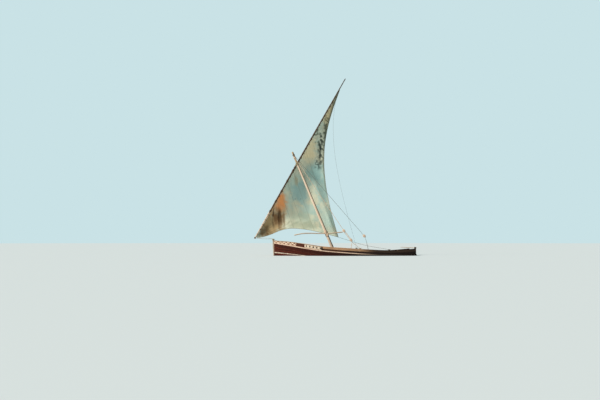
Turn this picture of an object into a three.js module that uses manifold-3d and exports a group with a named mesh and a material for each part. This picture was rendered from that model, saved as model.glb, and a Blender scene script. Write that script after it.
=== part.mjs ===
// A lateen-rigged sailing dhow about eleven metres long, with her yard hoisted and her sail set.
// All sizes are millimetres. The origin is amidships on the centre line at the waterline.
// The bow points towards -X, starboard is +Y, and +Z is up.
import * as THREE from "three";
import { mergeVertices } from "three/addons/utils/BufferGeometryUtils.js";
import Module from "manifold-3d";

const wasm = await Module();
wasm.setup();

// Gap left between pieces that touch
const fit = 0.3;
const port = -1;
const starboard = 1;
const sides = { port, starboard };

// Hull lines: half beam and height of the planking's top edge, height of the rabbet on the keel,
// roundness and hollow of the section, and height of the rail
const lines = [
  { x: -5400, beam: 75, sheer: 985, rabbet: -200, round: 0.0, hollow: 0.0, rail: 1152 },
  { x: -5000, beam: 262, sheer: 940, rabbet: -500, round: 0.1, hollow: 0.05, rail: 1125 },
  { x: -4300, beam: 570, sheer: 835, rabbet: -590, round: 0.25, hollow: 0.1, rail: 1072 },
  { x: -3200, beam: 930, sheer: 640, rabbet: -620, round: 0.5, hollow: 0.06, rail: 922 },
  { x: -1800, beam: 1190, sheer: 425, rabbet: -640, round: 0.75, hollow: 0.0, rail: 716 },
  { x: 0, beam: 1330, sheer: 265, rabbet: -650, round: 0.85, hollow: 0.0, rail: 590 },
  { x: 1800, beam: 1335, sheer: 150, rabbet: -650, round: 0.85, hollow: 0.0, rail: 474 },
  { x: 3600, beam: 1160, sheer: 118, rabbet: -610, round: 0.7, hollow: 0.1, rail: 400 },
  { x: 5250, beam: 800, sheer: 165, rabbet: -430, round: 0.45, hollow: 0.25, rail: 535 },
];
const bowEnd = lines[0].x;
const sternEnd = lines[lines.length - 1].x;

// Planking and framing
const boardsTop = 2;
const plankThickness = 30;
const rabbetHalfWidth = lines[0].beam;
const keelHalfWidth = 85;
const keelBottom = -850;
const frameDepth = 70;
const frameWidth = 60;
const frameCount = 9;
const firstFrame = -4700;
const frameSpacing = 1130;
const leastFloorHeight = 100;
const floorLevel = -500;
const frameOuter = plankThickness + fit;
const frameInner = frameOuter + frameDepth;
const planksPerBand = 3;

// Rails and boards
const capThickness = 35;
const capOverhang = 30;
const capReach = 105;
const washboardStart = -1935;
const washboardProud = 20;
const boardSeam = 0.0025;
const bandProud = 45;

// Stem, sternpost and transom
const stemFace = -5520;
const stemHeadTop = 1270;
const stemFootSetback = 90;
const stemCore = 40;
const stemCoreTop = 1080;
const stemCoreReach = 110;
const stemCoreSink = 20;
const forefootRadius = 480;
const forefootEnd = -4850;
const transomThickness = 50;
const transomFace = sternEnd - plankThickness;
const sternPostDepth = 140;
const sternPostHalfWidth = 45;
const sternPostTop = 470;

// Beams and decks
const beamThickness = 60;
const beamWidth = 160;
const endBeamWidth = 140;
const mastBeamWidth = 200;
const beamEndGap = 6;
const shelfDepth = 45;
const shelfHeight = 80;
const shelfBelowSheer = 30;
const shelfStart = -4100;
const deckThickness = 30;
const foredeckStart = -5050;
const foreBeamX = -4000;
const sternBeamX = 4000;
const boardThickness = 25;
const keelsonHalfWidth = 70;
const keelsonHeight = 110;
const boardsReach = 430;
const floorStart = -3000;
const floorEnd = 3700;

// Mast, raked forward
const mastRailX = -1010;
const mastRailZ = 780;
const mastHeadX = -4010;
const mastHeadZ = 7930;
const mastFootZ = -400;
const mastFootRadius = 125;
const mastHeadRadius = 70;
const stepHeight = 90;
const stepHalfLength = 330;
const stepHalfWidth = 130;
const stepLead = 95;

// Yard of two spars and its sail
const yardHeel = { x: -6880, z: 1280 };
const yardPeak = { x: 130, z: 13690 };
const lowerSparEnd = 6340;
const upperSparStart = 2290;
const lowerSparRadii = [40, 52, 60, 60, 52, 44];
const upperSparRadii = [44, 56, 65, 65, 60, 52, 43, 34];
const parrelTube = 14;
const parrelGap = 1.2;
const sailThickness = 5;
const tackDistance = 120;
const clewDistance = 3300;
const headDistance = 13330;
const clewReach = 5530;
const footHollow = 1410;
const leechHollow = 1348;
const bellyShare = 0.085;
const leanShare = 0.055;
const twistReach = 260;
const tackCut = 260;
const headCut = 180;

// Rudder hung outside the sternpost
const pintleX = sternEnd + 145;
const rudderEdge = pintleX + 35;
const rudderHalfThickness = 33;
const rudderHeel = keelBottom + 10;
const pintleRadius = 12;
const tillerRadius = 23;
const tillerTip = 20;
const tillerZ = 585;
const tillerRise = 60;

// Column of the lines table at a station, on a smooth curve through its rows
function lineAt(column, x) {
  const last = lines.length - 1;
  let row = 0;
  while (row < last - 1 && x > lines[row + 1].x) {
    row += 1;
  }
  const slope = (i) => {
    const before = lines[Math.max(i - 1, 0)];
    const after = lines[Math.min(i + 1, last)];
    return (after[column] - before[column]) / (after.x - before.x);
  };
  const a = lines[row];
  const b = lines[row + 1];
  const span = b.x - a.x;
  const t = (x - a.x) / span;
  const rise = t * t * (3 - 2 * t);
  const leave = t * (1 - t) * (1 - t) * span * slope(row);
  const arrive = t * t * (t - 1) * span * slope(row + 1);
  return a[column] + rise * (b[column] - a[column]) + leave + arrive;
}

// Outside of the hull on starboard: girth is 0 at the rabbet, 1 at the planking's top, 2 at the boards' top
function hullPoint(x, girth) {
  const beam = lineAt("beam", x) - rabbetHalfWidth;
  const sheer = lineAt("sheer", x);
  const rabbet = lineAt("rabbet", x);
  const round = lineAt("round", x);
  const depth = sheer - rabbet;
  if (girth > 1) {
    const boardTop = lineAt("rail", x) - capThickness - fit;
    const z = sheer + (girth - 1) * (boardTop - sheer);
    const flare = (beam * (1 - round)) / (depth * (1 - round + (round * Math.PI) / 2));
    return new THREE.Vector3(x, rabbetHalfWidth + beam + flare * (z - sheer), z);
  }
  const turn = (girth * Math.PI) / 2;
  const hollow = lineAt("hollow", x) * Math.sin(Math.PI * girth) * (1 - girth);
  const out = (1 - round) * girth + round * Math.sin(turn) - hollow;
  const up = (1 - round) * girth + round * (1 - Math.cos(turn));
  return new THREE.Vector3(x, rabbetHalfWidth + beam * out, rabbet + depth * up);
}

// Point inside the hull's outer face by a distance square to it, kept at its station;
// at the boards' top it is also kept at its height, so that the boards end level
function insetPoint(x, girth, inset) {
  const step = 0.002;
  const reach = 4;
  const g0 = girth > 1 ? Math.max(girth - step, 1.0001) : Math.max(girth - step, 0);
  const g1 = girth > 1 ? Math.min(girth + step, 2) : Math.min(girth + step, 1);
  const x0 = Math.max(x - reach, bowEnd);
  const x1 = Math.min(x + reach, sternEnd);
  const around = hullPoint(x, g1).sub(hullPoint(x, g0));
  const along = hullPoint(x1, girth).sub(hullPoint(x0, girth));
  const normal = new THREE.Vector3().crossVectors(around, along).normalize();
  if (normal.y < 0) {
    normal.negate();
  }
  const flat = normal.y * normal.y + normal.z * normal.z;
  const point = hullPoint(x, girth);
  if (girth === boardsTop) {
    point.y -= inset / normal.y;
    return point;
  }
  point.y -= (normal.y * inset) / flat;
  point.z -= (normal.z * inset) / flat;
  return point;
}

// Girths that every piece of the skin is divided at, so that faces that touch are divided alike
const girthSteps = [0, 1, 2, 3, 4, 5, 6, 7, 8, 9].map((i) => i / (planksPerBand * 3)).concat([boardsTop]);

const topPlankGirth = girthSteps[girthSteps.length - 3];

// The same point on the divided skin
function skinPoint(x, girth, inset) {
  let i = 0;
  while (i < girthSteps.length - 2 && girth > girthSteps[i + 1]) {
    i += 1;
  }
  const a = insetPoint(x, girthSteps[i], inset);
  const b = insetPoint(x, girthSteps[i + 1], inset);
  return a.lerp(b, (girth - girthSteps[i]) / (girthSteps[i + 1] - girthSteps[i]));
}

// Girth on the divided skin at a height
function girthAtHeight(x, z, inset) {
  let i = 0;
  while (i < girthSteps.length - 2 && insetPoint(x, girthSteps[i + 1], inset).z < z) {
    i += 1;
  }
  const a = insetPoint(x, girthSteps[i], inset);
  const b = insetPoint(x, girthSteps[i + 1], inset);
  return girthSteps[i] + ((z - a.z) / (b.z - a.z)) * (girthSteps[i + 1] - girthSteps[i]);
}

function halfBreadth(x, z, inset) {
  return skinPoint(x, girthAtHeight(x, z, inset), inset).y;
}

const floorTop = (x) => Math.max(lineAt("rabbet", x) + leastFloorHeight, floorLevel);
const shelfTop = (x) => lineAt("sheer", x) - shelfBelowSheer;

// Stations that long pieces are divided at: both faces of each frame, half-way between, and the ends
const frameCentres = Array.from({ length: frameCount }, (_, i) => firstFrame + i * frameSpacing);
const stations = frameCentres
  .flatMap((x) => [x - frameWidth / 2, x + frameWidth / 2, x + frameSpacing / 2])
  .concat([bowEnd, -5250, -5000, washboardStart, washboardStart + fit, floorStart, shelfStart, floorEnd])
  .concat([forefootEnd, forefootEnd + fit, transomFace - transomThickness, transomFace, sternEnd])
  .filter((x) => x >= bowEnd && x <= sternEnd)
  .sort((a, b) => a - b);

function stationsBetween(start, end, more = []) {
  return stations.concat(more).filter((x) => x > start + 1 && x < end - 1).concat([start, end]).sort((a, b) => a - b);
}

// Closed mesh from points and triangles, turned right side out
function closedMesh(points, triangles) {
  const corner = (i) => points[i];
  let volume = 0;
  for (const [a, b, c] of triangles) {
    volume += corner(a).dot(new THREE.Vector3().crossVectors(corner(b), corner(c)));
  }
  const facing = volume < 0 ? triangles.map(([a, b, c]) => [a, c, b]) : triangles;
  const geometry = new THREE.BufferGeometry();
  geometry.setAttribute("position", new THREE.Float32BufferAttribute(points.flatMap((p) => [p.x, p.y, p.z]), 3));
  geometry.setIndex(facing.flat());
  return geometry;
}

// Solid between two grids of points with the same rows and columns
function slab(outer, inner) {
  const rows = outer.length;
  const columns = outer[0].length;
  const points = outer.flat().concat(inner.flat());
  const near = (r, c) => r * columns + c;
  const far = (r, c) => rows * columns + r * columns + c;
  const triangles = [];
  const quad = (a, b, c, d) => triangles.push([a, b, c], [a, c, d]);
  for (let r = 0; r < rows - 1; r += 1) {
    for (let c = 0; c < columns - 1; c += 1) {
      quad(near(r, c), near(r + 1, c), near(r + 1, c + 1), near(r, c + 1));
      triangles.push([far(r, c), far(r + 1, c + 1), far(r + 1, c)], [far(r, c), far(r, c + 1), far(r + 1, c + 1)]);
    }
    quad(far(r, 0), far(r + 1, 0), near(r + 1, 0), near(r, 0));
    quad(near(r + 1, columns - 1), far(r + 1, columns - 1), far(r, columns - 1), near(r, columns - 1));
  }
  for (let c = 0; c < columns - 1; c += 1) {
    quad(near(0, c + 1), far(0, c + 1), far(0, c), near(0, c));
    quad(far(rows - 1, c), far(rows - 1, c + 1), near(rows - 1, c + 1), near(rows - 1, c));
  }
  return closedMesh(points, triangles);
}

// Solid between two outlines with the same number of corners
function prism(first, second, flatten) {
  const count = first.length;
  const outline = first.map(flatten);
  const caps = THREE.ShapeUtils.triangulateShape(outline, []);
  const clockwise = THREE.ShapeUtils.area(outline) < 0;
  const triangles = [];
  for (const [a, b, c] of caps) {
    triangles.push([a, b, c], [count + a, count + c, count + b]);
  }
  for (let i = 0; i < count; i += 1) {
    const j = (i + 1) % count;
    triangles.push([j, i, count + i], [j, count + i, count + j]);
  }
  return closedMesh(first.concat(second), clockwise ? fixCaps(triangles, caps.length * 2) : triangles);
}

// Caps of an outline that runs the other way round are turned over to agree with its sides
function fixCaps(triangles, capCount) {
  const flipped = triangles.slice(0, capCount).map(([a, b, c]) => [a, c, b]);
  return flipped.concat(triangles.slice(capCount));
}

// Plate in the plane of the keel, of even thickness across the boat
function plate(outline, halfThickness) {
  const at = (y) => outline.map(([x, z]) => new THREE.Vector3(x, y, z));
  return prism(at(-halfThickness), at(halfThickness), (p) => new THREE.Vector2(p.x, p.z));
}

// Box between two corners
function box(low, high) {
  const outline = [
    [low[0], low[2]],
    [high[0], low[2]],
    [high[0], high[2]],
    [low[0], high[2]],
  ];
  const at = (y) => outline.map(([x, z]) => new THREE.Vector3(x, y, z));
  return prism(at(low[1]), at(high[1]), (p) => new THREE.Vector2(p.x, p.z));
}

// Round bar from one point to another, with its radii spaced evenly; a corner faces port and starboard
function roundBar(start, end, radii, corners, flatness = 1) {
  const axis = end.clone().sub(start);
  const length = axis.length();
  axis.normalize();
  const across = new THREE.Vector3(0, 1, 0);
  if (Math.abs(axis.y) > 0.95) {
    across.set(1, 0, 0);
  }
  across.sub(axis.clone().multiplyScalar(across.dot(axis))).normalize();
  const third = new THREE.Vector3().crossVectors(axis, across);
  const points = [start.clone(), end.clone()];
  const triangles = [];
  const ring = (i, j) => 2 + i * corners + (j % corners);
  radii.forEach((radius, i) => {
    const middle = start.clone().addScaledVector(axis, (length * i) / (radii.length - 1));
    for (let j = 0; j < corners; j += 1) {
      const angle = (2 * Math.PI * j) / corners;
      const point = middle.clone().addScaledVector(across, radius * flatness * Math.cos(angle));
      points.push(point.addScaledVector(third, radius * Math.sin(angle)));
    }
  });
  const last = radii.length - 1;
  for (let j = 0; j < corners; j += 1) {
    triangles.push([0, ring(0, j + 1), ring(0, j)], [1, ring(last, j), ring(last, j + 1)]);
    for (let i = 0; i < last; i += 1) {
      triangles.push([ring(i, j), ring(i, j + 1), ring(i + 1, j + 1)], [ring(i, j), ring(i + 1, j + 1), ring(i + 1, j)]);
    }
  }
  return closedMesh(points, triangles);
}

// Manifold solid of a geometry, and back
function solid(geometry) {
  const bare = geometry.clone();
  bare.deleteAttribute("normal");
  bare.deleteAttribute("uv");
  const merged = mergeVertices(bare, 0.001);
  const vertProperties = new Float32Array(merged.attributes.position.array);
  const triVerts = new Uint32Array(merged.index.array);
  return new wasm.Manifold(new wasm.Mesh({ numProp: 3, vertProperties, triVerts }));
}

function geometryOf(body) {
  const mesh = body.getMesh();
  const geometry = new THREE.BufferGeometry();
  geometry.setAttribute("position", new THREE.Float32BufferAttribute(mesh.vertProperties, 3));
  geometry.setIndex(Array.from(mesh.triVerts));
  return geometry;
}

function joined(...geometries) {
  return geometryOf(geometries.map(solid).reduce((all, next) => all.add(next)));
}

const boat = new THREE.Group();
boat.name = "dhow";

const finishes = {
  dark_wood: { color: "#4a2f22", roughness: 0.8 },
  red_brown_wood: { color: "#5c3626", roughness: 0.75 },
  cream_paint: { color: "#d9c3a6", roughness: 0.6 },
  orange_wood: { color: "#a8764f", roughness: 0.7 },
  pale_wood: { color: "#c9b08a", roughness: 0.75 },
  spar_wood: { color: "#7d6a4c", roughness: 0.7 },
  grey_wood: { color: "#8c7c66", roughness: 0.85 },
  rope: { color: "#b5a583", roughness: 0.95 },
  canvas: { color: "#c3c1a4", roughness: 0.95 },
  iron: { color: "#55504a", roughness: 0.6, metalness: 0.8 },
};

function add(name, geometry, finish) {
  const look = finishes[finish];
  const material = new THREE.MeshStandardMaterial({ metalness: 0, ...look, flatShading: true });
  geometry.computeVertexNormals();
  const mesh = new THREE.Mesh(geometry, material);
  mesh.name = name;
  boat.add(mesh);
}

// Layer of the hull on one side, between two girths and two distances inside its outer face;
// points run from port to starboard, as they do in the frames
function hullLayer(xs, girths, outerInset, innerInset, side) {
  const face = (inset) =>
    xs.map((x) => {
      const points = girths(x).map((girth) => skinPoint(x, girth, inset));
      points.forEach((point) => {
        point.y *= side;
      });
      return side === port ? points.reverse() : points;
    });
  return slab(face(outerInset), face(innerInset));
}

// Level strip from one side of the boat to the other, or between two half breadths on one side
function levelSlab(xs, top, bottom, breadths) {
  const face = (height) =>
    xs.map((x) => {
      const z = height(x);
      return breadths(x, z).map((y) => new THREE.Vector3(x, y, z));
    });
  return slab(face(top), face(bottom));
}

// The mast's line, and the beams: the mast leans on the after edge of the second one
const mastSlope = (mastHeadX - mastRailX) / (mastHeadZ - mastRailZ);
const mastX = (z) => mastRailX + (z - mastRailZ) * mastSlope;
const mastRadius = (z) => {
  const share = (z - mastFootZ) / (mastHeadZ - mastFootZ);
  return mastFootRadius + (mastHeadRadius - mastFootRadius) * share;
};
const mastBeamTop = 430;
const mastBeamAft = mastX(mastBeamTop) - mastRadius(mastBeamTop) * Math.hypot(1, mastSlope) - beamEndGap;
const beams = [
  { name: "fore_beam", centre: foreBeamX, width: endBeamWidth },
  { name: "mast_beam", centre: mastBeamAft - mastBeamWidth / 2, width: mastBeamWidth },
  { name: "main_beam", centre: 410, width: beamWidth },
  { name: "after_beam", centre: 2640, width: beamWidth },
  { name: "stern_beam", centre: sternBeamX, width: endBeamWidth },
];
const beamFrom = (beam) => beam.centre - beam.width / 2;
const beamTo = (beam) => beam.centre + beam.width / 2;
const beamEdges = beams.flatMap((beam) => [beamFrom(beam), beamTo(beam)]);

// Planking in three bands a side
const bands = [
  { name: "bottom_planking", from: 0, to: 1 / 3 },
  { name: "bilge_planking", from: 1 / 3, to: 2 / 3 },
  { name: "topside_planking", from: 2 / 3, to: 1 },
];
for (const [sideName, side] of Object.entries(sides)) {
  for (const band of bands) {
    const girths = (x) => {
      const girthLength = hullPoint(x, band.to).distanceTo(hullPoint(x, band.from));
      const seam = ((fit / 2) * (band.to - band.from)) / girthLength;
      const inner = girthSteps.filter((g) => g > band.from + 0.01 && g < band.to - 0.01);
      const low = band.from > 0 ? band.from + seam : 0;
      return [low, ...inner, band.to - seam];
    };
    const planks = hullLayer(stations, girths, 0, plankThickness, side);
    add(`${band.name}_${sideName}`, planks, band.name === "bottom_planking" ? "dark_wood" : "red_brown_wood");
  }

  const bowXs = stationsBetween(bowEnd, washboardStart);
  const washXs = stationsBetween(washboardStart + fit, sternEnd);
  const boardGirths = () => [1 + boardSeam, 2];
  add(`bow_board_${sideName}`, hullLayer(bowXs, boardGirths, 0, plankThickness, side), "cream_paint");
  const washboard = hullLayer(washXs, boardGirths, -washboardProud, plankThickness, side);
  add(`washboard_${sideName}`, washboard, "red_brown_wood");

  const bandGirths = () => [topPlankGirth, 1 - boardSeam];
  const bandStrip = hullLayer(stations, bandGirths, -bandProud, -fit, side);
  add(`rubbing_band_${sideName}`, bandStrip, "cream_paint");

  const capEdges = (x) => {
    const outside = skinPoint(x, 2, 0).y;
    const innerEdge = Math.max(outside - capReach, stemCore + 2);
    return [innerEdge * side, (outside + capOverhang) * side];
  };
  const capBottom = (x) => lineAt("rail", x) - capThickness;
  const cap = levelSlab(stations, (x) => lineAt("rail", x), capBottom, capEdges);
  add(`rail_cap_${sideName}`, cap, "orange_wood");

  const shelfXs = stationsBetween(shelfStart, transomFace - transomThickness - fit, beamEdges);
  const shelfBreadths = (x, z) => {
    const outside = halfBreadth(x, z, frameInner) - fit;
    return [(outside - shelfDepth) * side, outside * side];
  };
  const shelf = levelSlab(shelfXs, shelfTop, (x) => shelfTop(x) - shelfHeight, shelfBreadths);
  add(`beam_shelf_${sideName}`, shelf, "grey_wood");

  const boardsFrom = frameCentres[2] - frameWidth / 2;
  const boardsTo = frameCentres[7] + frameWidth / 2;
  const floorXs = stationsBetween(boardsFrom, boardsTo).filter((x, i, all) => i === 0 || x - all[i - 1] > 1);
  const boardBottom = (x) => floorTop(x) + fit;
  const boardEdges = (x) => {
    const widest = Math.min(boardsReach, halfBreadth(x, floorTop(x) + fit, frameInner) - 8);
    return [(keelsonHalfWidth + 5) * side, widest * side];
  };
  const bottomBoards = levelSlab(floorXs, (x) => boardBottom(x) + boardThickness, boardBottom, boardEdges);
  add(`bottom_boards_${sideName}`, bottomBoards, "grey_wood");
}

// Section through both sides at a station, from the port rail round to the starboard rail
function wholeSection(x, inset) {
  const half = girthSteps.map((girth) => skinPoint(x, girth, inset));
  const mirrored = half.map((p) => new THREE.Vector3(p.x, -p.y, p.z)).reverse();
  return mirrored.concat(half);
}

// Frames from rail to rail, each with a flat floor over the keel
function frameInside(x) {
  const floor = floorTop(x);
  const edge = halfBreadth(x, floor, frameInner);
  const section = wholeSection(x, frameInner);
  const below = section.filter((point) => point.z < floor);
  below.forEach((point) => {
    point.z = floor;
  });
  if (below.length) {
    below[0].y = -edge;
    below[below.length - 1].y = edge;
  }
  return section;
}
frameCentres.forEach((centre, i) => {
  const xs = [centre - frameWidth / 2, centre + frameWidth / 2];
  const outside = xs.map((x) => wholeSection(x, frameOuter));
  add(`frame_${i + 1}`, slab(outside, xs.map(frameInside)), "grey_wood");
});

// Keel, deeper at the stern where its top follows the rabbet
const keelXs = stationsBetween(forefootEnd + fit, transomFace);
const keelTop = keelXs.map((x) => [x, lineAt("rabbet", x) - fit]);
const keelOutline = [[transomFace, keelBottom], [forefootEnd + fit, keelBottom], ...keelTop];
add("keel", plate(keelOutline, keelHalfWidth), "dark_wood");

// Stem with a rounded forefoot and a post head above the rail
const forefootArc = Array.from({ length: 7 }, (_, i) => {
  const angle = (i / 6) * (Math.PI / 2);
  const centreX = stemFace + stemFootSetback + forefootRadius;
  const centreZ = keelBottom + forefootRadius;
  return [centreX - forefootRadius * Math.sin(angle), centreZ - forefootRadius * Math.cos(angle)];
});
const stemXs = stationsBetween(bowEnd, forefootEnd);
const stemRabbet = stemXs.map((x) => [x, lineAt("rabbet", x) - fit]).reverse();
const stemBody = [
  [stemFace, stemHeadTop],
  [bowEnd - fit, stemHeadTop],
  [bowEnd - fit, lineAt("rabbet", bowEnd) - fit],
  ...stemRabbet.slice(0, -1).reverse(),
  [forefootEnd, keelBottom],
  ...forefootArc,
];
const stemCoreFront = bowEnd - stemCoreSink;
const stemCoreBack = bowEnd + stemCoreReach;
const stemCoreOutline = [
  [stemCoreFront, stemCoreTop],
  [stemCoreBack, stemCoreTop],
  [stemCoreBack, lineAt("rabbet", stemCoreBack) + 2 * stemCoreSink],
  [stemCoreFront, lineAt("rabbet", bowEnd) + stemCoreSink],
];
add("stem_post", joined(plate(stemBody, rabbetHalfWidth), plate(stemCoreOutline, stemCore)), "cream_paint");

// Transom inside the planking, and the sternpost behind it
const transomBack = wholeSection(transomFace, frameOuter);
const transomFront = wholeSection(transomFace - transomThickness, frameOuter);
add("transom", prism(transomBack, transomFront, (p) => new THREE.Vector2(p.y, p.z)), "red_brown_wood");

const postFace = transomFace + sternPostDepth;
const sternPost = box([transomFace + fit, -sternPostHalfWidth, keelBottom], [postFace, sternPostHalfWidth, sternPostTop]);
add("stern_post", sternPost, "dark_wood");

// Keelson and mast step
const keelsonBottom = (x) => floorTop(x) + fit;
const keelsonTop = (x) => floorTop(x) + fit + keelsonHeight;
const keelsonLow = [floorStart, -keelsonHalfWidth, keelsonBottom(floorStart)];
const keelsonHigh = [floorEnd, keelsonHalfWidth, keelsonTop(floorEnd)];
add("keelson", box(keelsonLow, keelsonHigh), "grey_wood");

const stepX = mastX(mastFootZ) - stepLead;
const stepBottom = keelsonTop(stepX) + fit;
const stepTop = stepBottom + stepHeight;
const stepLow = [stepX - stepHalfLength, -stepHalfWidth, stepBottom];
const stepHigh = [stepX + stepHalfLength, stepHalfWidth, stepTop];
add("mast_step", box(stepLow, stepHigh), "dark_wood");

// Mast, its foot cut level on the step
const mastFoot = new THREE.Vector3(mastX(mastFootZ), 0, mastFootZ);
const mastHead = new THREE.Vector3(mastHeadX, 0, mastHeadZ);
const mastAxis = mastHead.clone().sub(mastFoot).normalize();
const mastBar = roundBar(mastFoot, mastHead, [mastFootRadius, mastHeadRadius], 20);
const belowStep = box([mastFoot.x - 400, -400, stepTop - 600], [mastFoot.x + 400, 400, stepTop + fit]);
add("mast", geometryOf(solid(mastBar).subtract(solid(belowStep))), "pale_wood");

// Beams across the boat, resting on the shelves
const beamBottom = (beam) => Math.max(...stationsBetween(beamFrom(beam), beamTo(beam)).map(shelfTop)) + fit;
for (const beam of beams) {
  const bottom = beamBottom(beam);
  const edges = (x, z) => {
    const half = halfBreadth(x, z, plankThickness) - beamEndGap;
    return [-half, half];
  };
  const ends = [beamFrom(beam), beamTo(beam)];
  const strip = levelSlab(ends, () => bottom + beamThickness, () => bottom, edges);
  add(beam.name, strip, "grey_wood");
}

// Foredeck and stern deck
const deckEdges = (x, z) => {
  const half = halfBreadth(x, z, frameInner) - beamEndGap;
  return [-half, half];
};
const foredeckBottom = beamBottom(beams[0]) + beamThickness + fit;
const foredeck = levelSlab(
  stationsBetween(foredeckStart, foreBeamX + endBeamWidth / 2),
  () => foredeckBottom + deckThickness,
  () => foredeckBottom,
  deckEdges,
);
add("foredeck", foredeck, "orange_wood");
const sternDeckBottom = beamBottom(beams[4]) + beamThickness + fit;
const sternDeck = levelSlab(
  stationsBetween(sternBeamX - endBeamWidth / 2, transomFace - transomThickness - fit),
  () => sternDeckBottom + deckThickness,
  () => sternDeckBottom,
  deckEdges,
);
add("stern_deck", sternDeck, "orange_wood");

// Where the yard's line crosses the mast's line, seen from the side
const yardSlope = (yardPeak.x - yardHeel.x) / (yardPeak.z - yardHeel.z);
const crossingZ = (mastRailX - mastSlope * mastRailZ - yardHeel.x + yardSlope * yardHeel.z) / (yardSlope - mastSlope);
const crossing = new THREE.Vector3(mastX(crossingZ), 0, crossingZ);

// Parrel: a rope collar round the mast that holds the yard to it
const parrelRadius = mastRadius(crossingZ) + parrelGap + parrelTube;
const parrel = new THREE.TorusGeometry(parrelRadius, parrelTube, 8, 24);
const mastAft = new THREE.Vector3(mastAxis.z, 0, -mastAxis.x);
parrel.applyMatrix4(new THREE.Matrix4().makeBasis(mastAft, mastAxis.clone().cross(mastAft), mastAxis));
parrel.translate(crossing.x, crossing.y, crossing.z);
parrel.deleteAttribute("normal");
parrel.deleteAttribute("uv");
add("parrel", mergeVertices(parrel, 0.001), "rope");

// Yard of two spars side by side, the lower one outboard
const upperSparY = parrelRadius + parrelTube + fit + Math.max(...upperSparRadii);
const lowerSparY = upperSparY + Math.max(...upperSparRadii) + Math.max(...lowerSparRadii) + fit;
const yardAxis = new THREE.Vector3(yardPeak.x - yardHeel.x, 0, yardPeak.z - yardHeel.z);
const yardLength = yardAxis.length();
yardAxis.normalize();
const yardBelow = new THREE.Vector3(yardAxis.z, 0, -yardAxis.x);
const onYard = (distance, y) => new THREE.Vector3(yardHeel.x, y, yardHeel.z).addScaledVector(yardAxis, distance);
const radiusAlong = (radii, share) => {
  const place = Math.min(Math.max(share, 0), 1) * (radii.length - 1);
  const i = Math.min(Math.floor(place), radii.length - 2);
  return radii[i] + (radii[i + 1] - radii[i]) * (place - i);
};
const lowerSpar = roundBar(onYard(0, lowerSparY), onYard(lowerSparEnd, lowerSparY), lowerSparRadii, 16);
add("yard_lower_spar", lowerSpar, "pale_wood");
const upperSpar = roundBar(onYard(upperSparStart, upperSparY), onYard(yardLength, upperSparY), upperSparRadii, 16);
add("yard_upper_spar", upperSpar, "spar_wood");

// Sail: laced under the yard, with a hollow foot and leech, bellied to starboard
const luffGap = 0.8;
const changeStart = 1500;
const changeEnd = 2500;
const sailEdge = (distance) => {
  if (distance <= clewDistance) {
    const share = (distance - tackDistance) / (clewDistance - tackDistance);
    return clewReach * share - footHollow * Math.sin(Math.PI * share ** 1.55);
  }
  const share = (distance - clewDistance) / (headDistance - clewDistance);
  return clewReach * (1 - share) - leechHollow * Math.sin(Math.PI * share ** 0.92);
};
const luffY = (distance) => {
  const t = Math.min(Math.max((distance - changeStart) / (changeEnd - changeStart), 0), 1);
  const swing = t * t * (3 - 2 * t);
  return lowerSparY + (upperSparY - lowerSparY) * swing;
};
const luffOffset = (distance) => {
  const lower = distance < lowerSparEnd ? radiusAlong(lowerSparRadii, distance / lowerSparEnd) : 0;
  const upperShare = (distance - upperSparStart) / (yardLength - upperSparStart);
  const upper = distance > upperSparStart ? radiusAlong(upperSparRadii, upperShare) : 0;
  if (distance < changeStart) {
    return lower + luffGap;
  }
  return distance > changeEnd ? upper + luffGap : Math.max(lower, upper) + luffGap;
};
const sailPoint = (distance, across, offset) => {
  const reach = luffOffset(distance) + across * sailEdge(distance);
  const width = sailEdge(distance);
  const belly = bellyShare * width * Math.sin(Math.PI * across ** 0.8) + leanShare * width * across;
  const upShare = Math.max((distance - clewDistance) / (headDistance - clewDistance), 0);
  const twist = twistReach * across * Math.sin(Math.PI * upShare);
  const point = onYard(distance, luffY(distance) + belly + twist + offset);
  return point.addScaledVector(yardBelow, reach);
};
const footSteps = 9;
const leechSteps = 18;
const acrossSteps = 10;
const tackStart = tackDistance + tackCut;
const headEnd = headDistance - headCut;
const sailRows = Array.from({ length: footSteps }, (_, i) => tackStart + ((clewDistance - tackStart) * i) / footSteps)
  .concat(
    Array.from({ length: leechSteps + 1 }, (_, i) => clewDistance + ((headEnd - clewDistance) * i) / leechSteps),
  );
const sailFace = (offset) =>
  sailRows.map((distance) =>
    Array.from({ length: acrossSteps + 1 }, (_, i) => sailPoint(distance, i / acrossSteps, offset)),
  );
add("sail", slab(sailFace(sailThickness / 2), sailFace(-sailThickness / 2)), "canvas");

// Ridge pole lashed to the port side of the mast
const poleRadius = 42;
const poleHeight = 1690;
const poleEnds = [
  [-3890, 1560],
  [-3000, 1700],
  [mastX(poleHeight), poleHeight],
  [-150, 1800],
];
const poleY = -(mastRadius(poleHeight) + poleRadius + fit + 0.2);
const polePath = new THREE.CatmullRomCurve3(poleEnds.map(([x, z]) => new THREE.Vector3(x, poleY, z)));
const poleSection = new THREE.Shape(
  Array.from({ length: 12 }, (_, i) => {
    const angle = (i / 12) * 2 * Math.PI;
    return new THREE.Vector2(poleRadius * Math.cos(angle), poleRadius * Math.sin(angle));
  }),
);
const pole = new THREE.ExtrudeGeometry(poleSection, { steps: 12, bevelEnabled: false, extrudePath: polePath });
pole.deleteAttribute("normal");
pole.deleteAttribute("uv");
add("ridge_pole", mergeVertices(pole, 0.001), "pale_wood");

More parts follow.
